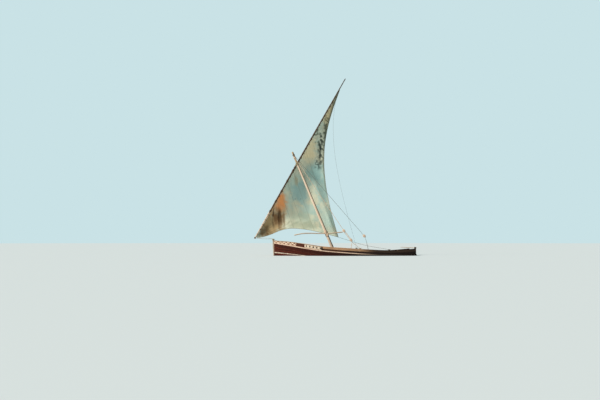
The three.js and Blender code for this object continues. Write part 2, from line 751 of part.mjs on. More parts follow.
// Port rigging: the halyard with its tackle, and the shroud that stands in for a backstay
const ropeRadius = 13;
const atMast = (z) => new THREE.Vector3(mastX(z), -(mastRadius(z) + ropeRadius + fit + 0.2), z);
const halyardTop = atMast(7480);
const shroudTop = atMast(7680);
const upperBlock = new THREE.Vector3(-200, -1130, 1890);
const lowerBlock = new THREE.Vector3(320, -1270, 1190);
const shroudBlock = new THREE.Vector3(1325, -1250, 1500);
const lowerStropX = 310;
const shroudStropX = 1600;
const stropInboard = 30;
const blockHalfLength = 125;
const blockRadii = [28, 68, 86, 91, 86, 68, 28];
const blockFlatness = 0.62;
const blockBody = (centre, towards) => {
  const direction = towards.clone().sub(centre).normalize().multiplyScalar(blockHalfLength);
  return roundBar(centre.clone().sub(direction), centre.clone().add(direction), blockRadii, 12, blockFlatness);
};
const awayFrom = (centre, towards, distance) => {
  const direction = towards.clone().sub(centre).normalize();
  return centre.clone().addScaledVector(direction, distance);
};
const seat = blockHalfLength + fit;
const stay = (name, block, top) => {
  add(name, roundBar(awayFrom(block, top, seat), top, [ropeRadius, ropeRadius], 8), "rope");
};
add("upper_halyard_block", blockBody(upperBlock, halyardTop), "dark_wood");
stay("halyard", upperBlock, halyardTop);

const tackleRadius = 22;
const tackleTop = awayFrom(upperBlock, halyardTop, -seat - 1.6);
const tackleEnd = awayFrom(lowerBlock, tackleTop, seat);
add("halyard_tackle", roundBar(tackleEnd, tackleTop, [tackleRadius, tackleRadius], 8), "rope");

// A block held down to the rail by a rope strop, whose slanting foot just clears the cap
const stropped = (centre, towards, railX) => {
  const foot = new THREE.Vector3(railX, stropInboard - skinPoint(railX, boardsTop, 0).y, lineAt("rail", railX));
  const way = centre.clone().sub(foot).normalize();
  foot.z += ropeRadius * Math.hypot(way.x, way.y) + 2 * fit;
  const strop = roundBar(foot, centre, [ropeRadius, ropeRadius], 8);
  return joined(blockBody(centre, towards), strop);
};
add("lower_halyard_block", stropped(lowerBlock, tackleTop, lowerStropX), "dark_wood");
add("shroud_block", stropped(shroudBlock, shroudTop, shroudStropX), "dark_wood");
stay("port_shroud", shroudBlock, shroudTop);

// Rudder blade with a slot in its head for the tiller
const bladeWidths = [
  { z: 650, width: 130 },
  { z: 120, width: 140 },
  { z: -120, width: 300 },
  { z: -420, width: 430 },
  { z: -700, width: 450 },
  { z: rudderHeel, width: 400 },
];
const afterEdge = bladeWidths.map((row) => [rudderEdge + row.width, row.z]);
const rudderOutline = [[rudderEdge, bladeWidths[0].z], ...afterEdge, [rudderEdge, rudderHeel]];
const tillerStart = new THREE.Vector3(4350, 0, tillerZ + tillerRise);
const tillerEnd = new THREE.Vector3(rudderEdge + 190, 0, tillerZ);
const tillerWay = tillerEnd.clone().sub(tillerStart).normalize();
const slotStart = tillerEnd.clone().addScaledVector(tillerWay, -300);
const slotEnd = tillerEnd.clone().addScaledVector(tillerWay, 100);
const slot = roundBar(slotStart, slotEnd, [tillerRadius + fit, tillerRadius + fit], 12);
const rudder = plate(rudderOutline, rudderHalfThickness);
add("rudder_blade", geometryOf(solid(rudder).subtract(solid(slot))), "dark_wood");
const tiller = roundBar(tillerStart, tillerEnd, [tillerTip, tillerRadius, tillerRadius, tillerRadius], 12);
add("tiller", tiller, "pale_wood");

// Gudgeons on the sternpost and pintles on the rudder
const gudgeonHeights = [-620, 300];
const eyeHalfHeight = 18;
const eyeRadius = 30;
const eyeHole = pintleRadius + 0.9;
const armHalfWidth = 22;
const pinBelow = 38;
const pinAbove = 63;
const strapHalfWidth = 10;
const strapHeight = 35;
const strapLift = 0.8;
gudgeonHeights.forEach((z, i) => {
  const upright = (low, high, radius, corners) =>
    roundBar(new THREE.Vector3(pintleX, 0, low), new THREE.Vector3(pintleX, 0, high), [radius, radius], corners);
  const eye = upright(z - eyeHalfHeight, z + eyeHalfHeight, eyeRadius, 16);
  const armLow = [postFace + fit, -armHalfWidth, z - eyeHalfHeight];
  const arm = box(armLow, [pintleX - eyeHole, armHalfWidth, z + eyeHalfHeight]);
  const hole = upright(z - 2 * eyeHalfHeight, z + 2 * eyeHalfHeight, eyeHole, 16);
  add(`gudgeon_${i + 1}`, geometryOf(solid(joined(eye, arm)).subtract(solid(hole))), "iron");
  const pin = upright(z - pinBelow, z + pinAbove, pintleRadius, 12);
  const strapLow = z + eyeHalfHeight + strapLift;
  const strapHigh = [rudderEdge - fit, strapHalfWidth, strapLow + strapHeight];
  const strap = box([pintleX, -strapHalfWidth, strapLow], strapHigh);
  add(`pintle_${i + 1}`, joined(pin, strap), "iron");
});

export default boat;
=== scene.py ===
"""Looks of a lateen-rigged wooden dhow: planked hull, spars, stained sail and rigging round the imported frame.

Everything is in metres in the frame's own axes: the bow is towards -X, starboard is +Y, +Z is up,
and the origin is amidships on the centre line at the waterline.
"""

import logging
import math
from collections import defaultdict
from dataclasses import dataclass, replace
from enum import Enum
from typing import Any, Callable, Optional, Sequence, Union

import bmesh
import bpy
import numpy as np
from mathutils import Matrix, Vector


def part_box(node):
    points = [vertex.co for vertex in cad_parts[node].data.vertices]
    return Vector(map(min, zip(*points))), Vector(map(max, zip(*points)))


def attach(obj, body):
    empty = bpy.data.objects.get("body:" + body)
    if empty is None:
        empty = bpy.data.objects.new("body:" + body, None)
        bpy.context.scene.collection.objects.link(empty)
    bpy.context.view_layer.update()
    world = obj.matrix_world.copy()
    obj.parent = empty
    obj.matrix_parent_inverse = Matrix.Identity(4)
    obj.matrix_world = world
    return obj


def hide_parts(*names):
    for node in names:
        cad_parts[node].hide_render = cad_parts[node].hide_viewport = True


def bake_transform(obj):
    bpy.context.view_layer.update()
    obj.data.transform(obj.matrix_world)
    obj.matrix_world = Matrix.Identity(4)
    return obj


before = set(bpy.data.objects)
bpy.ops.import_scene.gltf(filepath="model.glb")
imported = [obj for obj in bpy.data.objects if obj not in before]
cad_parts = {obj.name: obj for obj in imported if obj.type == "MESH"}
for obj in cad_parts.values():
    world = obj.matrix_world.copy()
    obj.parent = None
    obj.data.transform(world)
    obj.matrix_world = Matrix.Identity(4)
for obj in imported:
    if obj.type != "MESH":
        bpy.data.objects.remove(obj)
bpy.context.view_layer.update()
LOG = logging.getLogger("dhow")

Points = np.ndarray
Socket = bpy.types.NodeSocket
Coat = tuple[Socket, Socket, Socket]
Colour = tuple[float, float, float]
Fed = Union[float, Sequence[float], Socket]
Pairs = tuple[tuple[float, float], ...]
ALONG, ACROSS, UP = np.eye(3)


class Side(Enum):
    """The two sides of the boat, as the sign of Y."""

    PORT = -1
    STARBOARD = 1

    @property
    def word(self) -> str:
        """The side's name as it stands in the names of pieces."""
        return self.name.lower()


class Grain(Enum):
    """Whether the fibres run along each part of a piece or along the piece's own X."""

    PART = "part"
    PIECE = "piece"


class Axis(Enum):
    """An axis that a colour fades along."""

    X = 0
    Y = 1
    Z = 2


class Mark(Enum):
    """How a stain on the sail is broken up: the effect and its scale."""

    CLOUD = ("blotches", 2.4)
    RUN = ("streaks", 4.5)
    MOULD = ("blotches", 4.5)


class Pattern(Enum):
    """A painted pattern on a board."""

    PLAIN = "plain"
    ZIGZAG = "zigzag"
    LOZENGES = "lozenges"


def linear(colour: Colour) -> tuple[float, ...]:
    """Turns a screen colour, from 0 to 255, into the renderer's own."""
    parts = [part / 255 for part in colour]
    return (*[p / 12.92 if p <= 0.04045 else ((p + 0.055) / 1.055) ** 2.4 for p in parts], 1.0)


class Tree:
    """Adds shader nodes to one tree and links them."""

    def __init__(self, tree: bpy.types.NodeTree) -> None:
        """Takes the tree that nodes are added to."""
        self.tree = tree

    def feed(self, socket: Socket, value: Fed) -> None:
        """Links a socket to another, or sets its plain value.

        Args:
            socket: The input.
            value: What it gets.
        """
        if isinstance(value, Socket):
            self.tree.links.new(value, socket)
        else:
            socket.default_value = value

    def add(self, kind: str, settings: Optional[dict[str, Any]] = None, **inputs: Fed) -> bpy.types.Node:
        """Adds one node.

        Args:
            kind: The node's type without its ShaderNode prefix.
            settings: Properties of the node.
            **inputs: Values or sockets for its named inputs, with _ for a space.

        Returns:
            The new node.
        """
        node = self.tree.nodes.new("ShaderNode" + kind)
        for name, value in (settings or {}).items():
            setattr(node, name, value)
        for name, value in inputs.items():
            self.feed(node.inputs[name.replace("_", " ")], value)
        return node

    def result(self, operation: str, *values: Fed, kind: str = "Math") -> Socket:
        """Adds one operation.

        Args:
            operation: Its name.
            *values: Its numbers or vectors, in order.
            kind: VectorMath for vectors.

        Returns:
            Its result.
        """
        node = self.add(kind, {"operation": operation})
        for socket, value in zip(node.inputs, values):
            self.feed(socket, value)
        return node.outputs[0]

    def times(self, first: Fed, second: Fed) -> Socket:
        """Product of two numbers."""
        return self.result("MULTIPLY", first, second)

    def plus(self, first: Fed, second: Fed) -> Socket:
        """Sum of two numbers."""
        return self.result("ADD", first, second)

    def minus(self, first: Fed, second: Fed) -> Socket:
        """Difference of two numbers."""
        return self.result("SUBTRACT", first, second)

    def size(self, value: Fed) -> Socket:
        """A number without its sign."""
        return self.result("ABSOLUTE", value)

    def scaled(self, vector: Fed, by: Fed) -> Socket:
        """A vector with each part multiplied."""
        return self.result("MULTIPLY", vector, by, kind="VectorMath")

    def spread(self, value: Fed, low: Fed, high: Fed, to_low: float = 0.0, to_high: float = 1.0) -> Socket:
        """A value eased from one span to another, kept inside it."""
        return self.add("MapRange", {"interpolation_type": "SMOOTHSTEP"}, Value=value, From_Min=low,
                        From_Max=high, To_Min=to_low, To_Max=to_high).outputs["Result"]

    def noise(self, vector: Fed, scale: Fed = 1.0, detail: float = 4.0, twist: float = 0.0) -> Socket:
        """Cloudy value between 0 and 1."""
        return self.add("TexNoise", Vector=vector, Scale=scale, Detail=detail, Distortion=twist).outputs[0]

    def mix(self, share: Fed, first: Union[Socket, Colour], second: Union[Socket, Colour]) -> Socket:
        """Mixes two colours.

        Args:
            share: Share of the second.
            first: A colour's socket, or a screen colour.
            second: The same.

        Returns:
            The colour.
        """
        node = self.add("Mix", {"data_type": "RGBA"})
        for number, value in ((0, share), (6, first), (7, second)):
            self.feed(node.inputs[number], linear(value) if isinstance(value, tuple) else value)
        return node.outputs[2]

    def parts(self, vector: Fed) -> Sequence[Socket]:
        """The three parts of a vector."""
        return self.add("SeparateXYZ", Vector=vector).outputs

    def carried(self, name: str, output: str = "Vector") -> Socket:
        """What the mesh's points carry under a name."""
        return self.add("Attribute", {"attribute_name": name}).outputs[output]

    def place(self) -> Socket:
        """Coordinates fixed to the piece."""
        return self.add("TexCoord").outputs["Object"]

    def inner_face(self) -> Socket:
        """Mask of a board's inner face."""
        return self.spread(self.parts(self.carried("band"))[2], 0.55, 0.95)

    def effect(self, name: str, **inputs: Fed) -> Sequence[Socket]:
        """What one of the shared effects puts out."""
        return self.add("Group", {"node_tree": bpy.data.node_groups[name]}, **inputs).outputs

    def mask(self, name: str, **inputs: Fed) -> Socket:
        """The mask of a shared effect, in coordinates fixed to the piece."""
        return self.effect(name, Coordinates=self.place(), **inputs)[0]


class Effects:
    """The node groups that several finishes share. Each is filled from its own inputs."""

    @staticmethod
    def make(name: str, fill: Callable[..., dict[str, Socket]], **numbers: float) -> None:
        """Builds one group.

        Args:
            name: The group's name.
            fill: Adds the nodes to a tree from its inputs, and returns its named outputs.
            **numbers: Its number inputs with their usual values, with _ for a space.
        """
        group = bpy.data.node_groups.new(name, "ShaderNodeTree")
        group.interface.new_socket(name="Coordinates", in_out="INPUT", socket_type="NodeSocketVector")
        for key, value in numbers.items():
            socket = group.interface.new_socket(name=key.replace("_", " "), in_out="INPUT",
                                                socket_type="NodeSocketFloat")
            socket.default_value = value
        outputs = fill(Tree(group), *group.nodes.new("NodeGroupInput").outputs[:len(numbers) + 1])
        for key in outputs:
            group.interface.new_socket(name=key, in_out="OUTPUT", socket_type="NodeSocketFloat")
        end = group.nodes.new("NodeGroupOutput")
        for key, socket in outputs.items():
            group.links.new(socket, end.inputs[key])

    @staticmethod
    def grain(tree: Tree, place: Socket, length: Socket, cross: Socket) -> dict[str, Socket]:
        """Wood grain along the first coordinate.

        Args:
            tree: The group's tree.
            place: Coordinates.
            length: Scale along the fibres.
            cross: Scale across them.

        Returns:
            Broad bands and fine fibres.
        """
        stretch = tree.add("CombineXYZ", X=length, Y=cross, Z=cross).outputs[0]
        along = tree.scaled(place, stretch)
        bands = tree.spread(tree.noise(along, 1.0, 4.0, 1.1), 0.33, 0.67)
        fibres = tree.spread(tree.noise(tree.scaled(along, (2.0, 7.0, 7.0)), 1.0, 3.0), 0.3, 0.7)
        return {"Bands": bands, "Fibres": fibres}

    @staticmethod
    def blotches(tree: Tree, place: Socket, scale: Socket, low: Socket, high: Socket) -> dict[str, Socket]:
        """Cloudy patches of wear or dirt."""
        return {"Mask": tree.spread(tree.noise(place, scale, 6.0, 0.4), low, high)}

    @staticmethod
    def streaks(tree: Tree, place: Socket, scale: Socket, low: Socket, high: Socket) -> dict[str, Socket]:
        """Stains that have run down."""
        drawn_out = tree.scaled(place, (1.0, 1.0, 0.12))
        return {"Mask": tree.spread(tree.noise(drawn_out, scale, 5.0, 0.2), low, high)}

    @staticmethod
    def edge_wear(tree: Tree, place: Socket, amount: Socket) -> dict[str, Socket]:
        """Rubbed corners, broken up by noise.

        Args:
            tree: The group's tree.
            place: Coordinates.
            amount: How far they are rubbed.

        Returns:
            The mask.
        """
        sharp = tree.spread(tree.add("NewGeometry").outputs["Pointiness"], 0.51, 0.58)
        broken = tree.spread(tree.noise(place, 9.0, 4.0), 0.35, 0.6)
        return {"Mask": tree.times(tree.times(sharp, broken), amount)}

    @staticmethod
    def weave(tree: Tree, place: Socket, threads: Socket) -> dict[str, Socket]:
        """Crossed threads of a cloth.

        Args:
            tree: The group's tree.
            place: Coordinates.
            threads: How many there are to a metre.

        Returns:
            The mask.
        """
        x, y, z = tree.parts(place)
        turn = tree.times(threads, 2 * math.pi)
        warp = tree.result("SINE", tree.times(tree.plus(x, y), turn))
        weft = tree.result("SINE", tree.times(z, turn))
        return {"Mask": tree.spread(tree.times(warp, weft), -1.0, 1.0)}

    def build(self) -> None:
        """Builds every group once."""
        self.make("grain", self.grain, Length_Scale=0.6, Cross_Scale=14.0)
        self.make("blotches", self.blotches, Scale=1.5, Low=0.45, High=0.65)
        self.make("streaks", self.streaks, Scale=6.0, Low=0.45, High=0.7)
        self.make("edge_wear", self.edge_wear, Amount=0.5)
        self.make("weave", self.weave, Threads=180.0)


@dataclass(frozen=True)
class Fade:
    """A second colour that takes over along the boat or across a round spar, over a span in metres."""

    axis: Axis
    start: float
    end: float
    colour: Colour
    share: float = 1.0
    round_spar: bool = False

    def reach(self, tree: Tree) -> Socket:
        """How far it has taken over."""
        along = tree.carried("grain") if self.round_spar else tree.place()
        return tree.spread(tree.parts(along)[self.axis.value], self.start, self.end, 0.0, self.share)


@dataclass(frozen=True)
class Finish:
    """A surface: its material's name, the slot that it stands for, its roughness and its shader.

    Gloss is how strongly it mirrors light, where 0.5 is usual. Relief is the bumps' strength and height.
    """

    name: str
    slot: str
    rough: float
    metal: float = 0.0
    gloss: float = 0.2
    relief: tuple[float, float] = (0.3, 0.002)
    fades: tuple[Fade, ...] = ()

    def coat(self, tree: Tree) -> Coat:
        """Adds the surface's nodes, for its colour, its roughness and its height."""
        raise NotImplementedError

    def faded(self, tree: Tree, colour: Socket) -> Socket:
        """Lays on the colours that take over.

        Args:
            tree: The material's tree.
            colour: The colour so far.

        Returns:
            The colour.
        """
        for fade in self.fades:
            colour = tree.mix(fade.reach(tree), colour, fade.colour)
        return colour

    def material(self) -> bpy.types.Material:
        """Builds the material, or finds it if it is there.

        Returns:
            The material.
        """
        found = bpy.data.materials.get(self.name)
        if found:
            return found
        made = bpy.data.materials.new(self.name)
        made.use_nodes = True
        tree = Tree(made.node_tree)
        shader = made.node_tree.nodes["Principled BSDF"]
        shader.inputs["Metallic"].default_value = self.metal
        shader.inputs["Specular IOR Level"].default_value = self.gloss
        colour, rough, height = self.coat(tree)
        bump = tree.add("Bump", Height=height, Strength=self.relief[0], Distance=self.relief[1])
        tree.feed(shader.inputs["Base Color"], colour)
        tree.feed(shader.inputs["Roughness"], rough)
        tree.feed(shader.inputs["Normal"], bump.outputs["Normal"])
        return made


@dataclass(frozen=True)
class Timber(Finish):
    """What bare and painted wood share."""

    grain: Grain = Grain.PART

    def fibres(self, tree: Tree) -> Socket:
        """Coordinates along the fibres."""
        return tree.carried("grain") if self.grain is Grain.PART else tree.place()

    def seamed(self, tree: Tree, colour: Socket, share: float, seam: Colour) -> Socket:
        """Darkens the seams between the parts of a piece.

        Args:
            tree: The material's tree.
            colour: The colour so far.
            share: How strongly.
            seam: The seams' colour.

        Returns:
            The colour.
        """
        if self.grain is Grain.PIECE:
            return colour
        return tree.mix(tree.times(tree.carried("edge", "Fac"), share), colour, seam)


@dataclass(frozen=True, kw_only=True)
class Wood(Timber):
    """Bare, oiled or weathered wood. Its tones are light grain, dark grain, stains and rubbed edges."""

    tones: tuple[Colour, Colour, Colour, Colour]
    weather: float
    rubbed: float = 0.5
    tone_spread: float = 0.25
    length_scale: float = 0.6
    cross_scale: float = 14.0
    inside: Optional[Colour] = None
    keep_inside: bool = False

    def dimmed(self, tree: Tree, colour: Socket, bands: Socket) -> Socket:
        """Lays on the colours that take over, with the grain still in them.

        Args:
            tree: The material's tree.
            colour: The colour so far.
            bands: The grain.

        Returns:
            The colour.
        """
        for fade in self.fades:
            reach = fade.reach(tree)
            if self.keep_inside:
                reach = tree.times(reach, tree.minus(1.0, tree.inner_face()))
            brighter = tuple(1.8 * part for part in fade.colour)
            colour = tree.mix(reach, colour, tree.mix(bands, fade.colour, brighter))
        return colour

    def coat(self, tree: Tree) -> Coat:
        """Adds grain, tone from board to board, stains and wear.

        Args:
            tree: The material's tree.

        Returns:
            Its colour, its roughness and its height.
        """
        light, dark, stain, worn = self.tones
        bands, fibres = tree.effect("grain", Coordinates=self.fibres(tree), Length_Scale=self.length_scale,
                                    Cross_Scale=self.cross_scale)
        colour = tree.mix(bands, dark, light)
        if self.inside:
            bare = tree.mix(tree.times(bands, 0.4), self.inside, dark)
            colour = tree.mix(tree.inner_face(), colour, bare)
        if self.grain is Grain.PART:
            tone = tree.carried("tone", "Fac")
            shade = tree.spread(tone, 0.0, 1.0, 1 - self.tone_spread, 1 + self.tone_spread)
            colour = tree.add("HueSaturation", Color=colour, Value=shade).outputs["Color"]
        dirt = tree.mask("blotches", Scale=1.3, Low=0.35, High=0.8)
        runs = tree.mask("streaks", Scale=9.0, Low=0.5, High=0.78)
        colour = tree.mix(tree.times(tree.result("MAXIMUM", dirt, runs), self.weather), colour, stain)
        colour = tree.mix(tree.mask("edge_wear", Amount=self.rubbed), colour, worn)
        colour = self.dimmed(tree, self.seamed(tree, colour, 0.75, stain), bands)
        rough = tree.spread(fibres, 0.0, 1.0, self.rough - 0.08, self.rough + 0.1)
        return colour, rough, tree.plus(tree.times(bands, 0.5), tree.times(fibres, 0.5))


@dataclass(frozen=True, kw_only=True)
class Paint(Timber):
    """Old paint on wood: chipped, streaked and dirty, plain or with a painted pattern."""

    cream: Colour
    under: Colour
    dirt: Colour
    motif: Colour = (92, 48, 30)
    chips: float = 0.45
    soil: float = 0.3
    pattern: Pattern = Pattern.PLAIN
    repeat: float = 0.32

    def drawn(self, tree: Tree) -> Socket:
        """Mask of the painted pattern, from the distance along the board and the share across it.

        Args:
            tree: The material's tree.

        Returns:
            The mask.
        """
        along, across, _ = tree.parts(tree.carried("band"))
        turn = tree.result("FRACT", tree.result("DIVIDE", along, self.repeat))
        swing = tree.times(tree.size(tree.minus(turn, 0.5)), 2.0)
        if self.pattern is Pattern.ZIGZAG:
            apart = tree.size(tree.minus(tree.spread(across, 0.15, 0.85), swing))
            return tree.spread(apart, 0.2, 0.27, 1.0, 0.0)
        middle = tree.times(tree.size(tree.minus(across, 0.5)), 1.35)
        return tree.spread(tree.plus(tree.times(swing, 0.9), middle), 0.42, 0.5, 1.0, 0.0)

    def coat(self, tree: Tree) -> Coat:
        """Adds the coat, its pattern, chips and dirt.

        Args:
            tree: The material's tree.

        Returns:
            Its colour, its roughness and its height.
        """
        along = self.fibres(tree)
        bands, fibres = tree.effect("grain", Coordinates=along, Length_Scale=0.7, Cross_Scale=20.0)
        colour = tree.mix(tree.times(bands, 0.25), self.cream, self.dirt)
        if self.pattern is not Pattern.PLAIN:
            colour = tree.mix(self.drawn(tree), colour, self.motif)
        runs = tree.mask("streaks", Scale=11.0, Low=0.46, High=0.72)
        colour = tree.mix(tree.times(runs, self.soil), colour, self.dirt)
        flakes = tree.spread(tree.noise(tree.scaled(along, (3.0, 14.0, 14.0)), 1.0, 6.0, 0.3), 0.58, 0.63)
        bare = tree.times(tree.result("MAXIMUM", flakes, tree.mask("edge_wear", Amount=1.0)), self.chips)
        if self.grain is Grain.PART:
            bare = tree.result("MAXIMUM", bare, tree.inner_face())
        colour = tree.mix(bare, colour, tree.mix(bands, self.under, self.dirt))
        colour = self.faded(tree, self.seamed(tree, colour, 0.6, self.under))
        rough = tree.spread(bare, 0.0, 1.0, self.rough, 0.9)
        return colour, rough, tree.minus(tree.times(fibres, 0.3), bare)


@dataclass(frozen=True, kw_only=True)
class Rope(Finish):
    """Laid fibre rope: the strands are in the mesh, and the fibres here."""

    light: Colour
    dark: Colour

    def coat(self, tree: Tree) -> Coat:
        """Adds fibres, dirt and painted shade in the grooves between the strands.

        Args:
            tree: The material's tree.

        Returns:
            Its colour, its roughness and its height.
        """
        fibres = tree.noise(tree.scaled(tree.carried("grain"), (60.0, 320.0, 320.0)), 1.0, 3.0)
        dirt = tree.mask("blotches", Scale=5.0, Low=0.4, High=0.7)
        colour = tree.mix(tree.plus(tree.times(fibres, 0.45), tree.times(dirt, 0.35)), self.light, self.dark)
        # Painted shade: the grooves between the strands are darkened.
        colour = tree.mix(tree.times(tree.carried("edge", "Fac"), 0.8), colour, self.dark)
        return colour, tree.spread(fibres, 0.0, 1.0, self.rough - 0.05, self.rough), fibres


@dataclass(frozen=True)
class Iron(Finish):
    """Forged iron with rust."""

    metal: float = 0.6
    gloss: float = 0.5
    bare: Colour = (92, 88, 84)
    rust: Colour = (118, 66, 38)

    def coat(self, tree: Tree) -> Coat:
        """Adds rust and hammer marks.

        Args:
            tree: The material's tree.

        Returns:
            Its colour, its roughness and its height.
        """
        rusted = tree.mask("blotches", Scale=14.0, Low=0.35, High=0.6)
        colour = tree.mix(rusted, self.bare, self.rust)
        colour = tree.mix(tree.mask("edge_wear", Amount=0.7), colour, self.bare)
        rough = tree.spread(rusted, 0.0, 1.0, self.rough - 0.15, self.rough + 0.2)
        return colour, rough, tree.noise(tree.place(), 45.0, 2.0)


@dataclass(frozen=True)
class Stain:
    """One soft stain or patch of painted shade on the sail: its middle and half sizes seen from the side, in
    metres.
    """

    x: float
    z: float
    across: float
    high: float
    colour: Colour
    share: float
    mark: Mark = Mark.CLOUD

    def spot(self, tree: Tree, cloud: Socket) -> Socket:
        """Mask of the stain.

        Args:
            tree: The material's tree.
            cloud: What breaks its edge up.

        Returns:
            The mask.
        """
        x, _, z = tree.parts(tree.place())
        wide = tree.result("DIVIDE", tree.minus(x, self.x), self.across)
        tall = tree.result("DIVIDE", tree.minus(z, self.z), self.high)
        apart = tree.result("SQRT", tree.plus(tree.times(wide, wide), tree.times(tall, tall)))
        mask = tree.spread(tree.minus(tree.plus(1.25, tree.times(cloud, 0.55)), apart), 0.2, 1.15)
        if self.mark is not Mark.CLOUD:
            mask = tree.times(mask, tree.spread(cloud, 0.35, 0.65))
        return tree.times(mask, self.share)


@dataclass(frozen=True)
class Canvas(Finish):
    """Old sailcloth with seams, stains, patches of painted shade, mildew and faded colour."""

    relief: tuple[float, float] = (0.35, 0.004)
    cloth: Colour = (226, 222, 194)
    shade: Colour = (196, 212, 196)
    thread: Colour = (132, 124, 98)
    leech: Colour = (92, 100, 84)
    stains: tuple[Stain, ...] = ()
    seam_way: tuple[float, float] = (0.94, 0.34)
    cloth_width: float = 0.72
    seam_width: float = 0.035

    def seams(self, tree: Tree) -> Socket:
        """Mask of the seams between the cloths, which run down the sail.

        Args:
            tree: The material's tree.

        Returns:
            The mask.
        """
        x, _, z = tree.parts(tree.place())
        slide = tree.plus(tree.times(x, self.seam_way[0]), tree.times(z, self.seam_way[1]))
        turn = tree.result("FRACT", tree.result("DIVIDE", tree.plus(slide, 40.0), self.cloth_width))
        half = self.seam_width / self.cloth_width / 2
        return tree.spread(tree.size(tree.minus(turn, 0.5)), half, half * 1.5, 1.0, 0.0)

    def coat(self, tree: Tree) -> Coat:
        """Adds cloth, stains, patches of painted shade and seams.

        Args:
            tree: The material's tree.

        Returns:
            Its colour, its roughness and its height.
        """
        place = tree.place()
        clouds = tree.mask("blotches", Scale=0.7, Low=0.38, High=0.64)
        runs = tree.mask("streaks", Scale=3.2, Low=0.42, High=0.72)
        colour = tree.mix(clouds, self.cloth, self.shade)
        colour = self.faded(tree, tree.mix(tree.times(runs, 0.3), colour, self.thread))
        broken = {mark: tree.mask(mark.value[0], Scale=mark.value[1], Low=0.3, High=0.7) for mark in Mark}
        # Lays on each stain and each patch of painted shade.
        for stain in self.stains:
            colour = tree.mix(stain.spot(tree, broken[stain.mark]), colour, stain.colour)
        near_edge = tree.spread(tree.parts(tree.carried("band"))[2], 0.03, 0.2, 1.0, 0.0)
        edge = tree.times(near_edge, tree.spread(tree.parts(place)[2], 3.0, 7.0, 0.1, 0.8))
        colour = tree.mix(edge, colour, self.leech)
        specks = tree.spread(tree.noise(place, 7.0, 3.0), 0.69, 0.73, 0.0, 0.6)
        colour = tree.mix(specks, colour, self.leech)
        seam = self.seams(tree)
        colour = tree.mix(tree.times(seam, 0.28), colour, self.thread)
        creases = tree.noise(tree.scaled(place, (1.0, 1.0, 0.5)), 5.0, 5.0, 0.8)
        height = tree.plus(tree.times(tree.mask("weave", Threads=160.0), 0.12), tree.times(creases, 0.7))
        height = tree.plus(height, tree.times(seam, 0.5))
        return colour, tree.spread(clouds, 0.0, 1.0, self.rough - 0.06, self.rough), height


@dataclass(frozen=True)
class Ground(Finish):
    """The plain pale floor."""

    relief: tuple[float, float] = (0.02, 0.001)
    pale: Colour = (214, 218, 218)
    shade: Colour = (196, 202, 204)

    def coat(self, tree: Tree) -> Coat:
        """Adds a hardly uneven pale coat.

        Args:
            tree: The material's tree.

        Returns:
            Its colour, its roughness and its height.
        """
        cloud = tree.noise(tree.place(), 0.4, 2.0)
        colour = tree.mix(tree.times(cloud, 0.03), self.pale, self.shade)
        return colour, tree.spread(cloud, 0.0, 1.0, self.rough - 0.02, self.rough), cloud


AFT_DARK = Fade(Axis.X, -3.0, 0.8, (22, 10, 6), 0.94)
WATERED = Fade(Axis.Z, 0.0, -0.14, (58, 44, 34), 0.7)
# Painted shade: one side of the mast is darkened along its whole length, for the mast's shaded side.
MAST_PAINTED_SHADE = Fade(Axis.Y, -0.005, -0.07, (72, 52, 38), 0.85, True)
TOPSIDE = Wood("planking_wood", "red_brown_wood", 0.62, weather=0.35, inside=(92, 64, 44), keep_inside=True,
               tones=((92, 28, 8), (54, 14, 4), (26, 13, 8), (126, 74, 46)), fades=(AFT_DARK, WATERED))
CAULK = Wood("caulking", "dark_wood", 0.85, weather=0.3,
             tones=((46, 36, 28), (26, 21, 17), (18, 15, 12), (60, 48, 38)))
DARK_WOOD = Wood("dark_stained_wood", "dark_wood", 0.75, weather=0.4, rubbed=0.12, grain=Grain.PIECE,
                 tones=((62, 44, 32), (38, 27, 20), (20, 16, 13), (74, 56, 42)))
DARK_PART = Wood("dark_wood_parts", "dark_wood", 0.7, weather=0.3,
                 tones=((92, 62, 42), (58, 38, 26), (28, 21, 16), (140, 112, 86)))
WASHBOARD = Wood("washboard_wood", "red_brown_wood", 0.68, weather=0.4, rubbed=0.35, inside=(88, 64, 46),
                 tones=((86, 44, 26), (52, 25, 15), (24, 15, 11), (140, 98, 68)),
                 fades=(Fade(Axis.X, -0.8, 1.8, (20, 11, 8), 0.94),))
CAP_WOOD = Wood("rail_cap_wood", "orange_wood", 0.62, weather=0.3, inside=(88, 66, 48),
                tones=((206, 160, 122), (166, 120, 86), (96, 66, 46), (226, 196, 164)),
                fades=(Fade(Axis.X, 0.3, 2.4, (25, 15, 11), 0.95),))
DECK_WOOD = Wood("deck_wood", "orange_wood", 0.78, weather=0.4,
                 tones=((178, 142, 108), (140, 106, 78), (84, 64, 48), (200, 176, 148)))
GREY_PART = Wood("weathered_wood_parts", "grey_wood", 0.85, weather=0.45,
                 tones=((150, 130, 106), (112, 94, 75), (62, 50, 40), (178, 160, 136)))
GREY_WOOD = replace(GREY_PART, name="weathered_wood", rubbed=0.12, grain=Grain.PIECE)
PALE_SPAR = Wood("pale_spar_wood", "pale_wood", 0.66, weather=0.22, length_scale=0.4, cross_scale=34.0,
                 tones=((230, 206, 180), (200, 170, 140), (140, 108, 80), (240, 222, 198)),
                 fades=(Fade(Axis.Z, 6.7, 7.2, (112, 92, 66), 0.85),))
MAST_WOOD = replace(PALE_SPAR, name="mast_wood", weather=0.18, fades=(*PALE_SPAR.fades, MAST_PAINTED_SHADE),
                    tones=((246, 222, 198), (218, 188, 160), (150, 118, 90), (248, 230, 208)))
# Painted shade: the lower spar turns dark brown above 3.2 m, for the shadow of the sail's belly on it.
LOWER_SPAR = replace(PALE_SPAR, name="lower_spar_wood", weather=0.25,
                     tones=((240, 216, 192), (212, 180, 150), (130, 96, 70), (240, 222, 198)),
                     fades=(Fade(Axis.Z, 3.2, 4.0, (80, 50, 32), 0.9),))
DARK_SPAR = Wood("grey_spar_wood", "spar_wood", 0.7, weather=0.35, length_scale=0.4, cross_scale=40.0,
                 tones=((108, 86, 62), (62, 46, 33), (40, 31, 24), (150, 128, 100)))
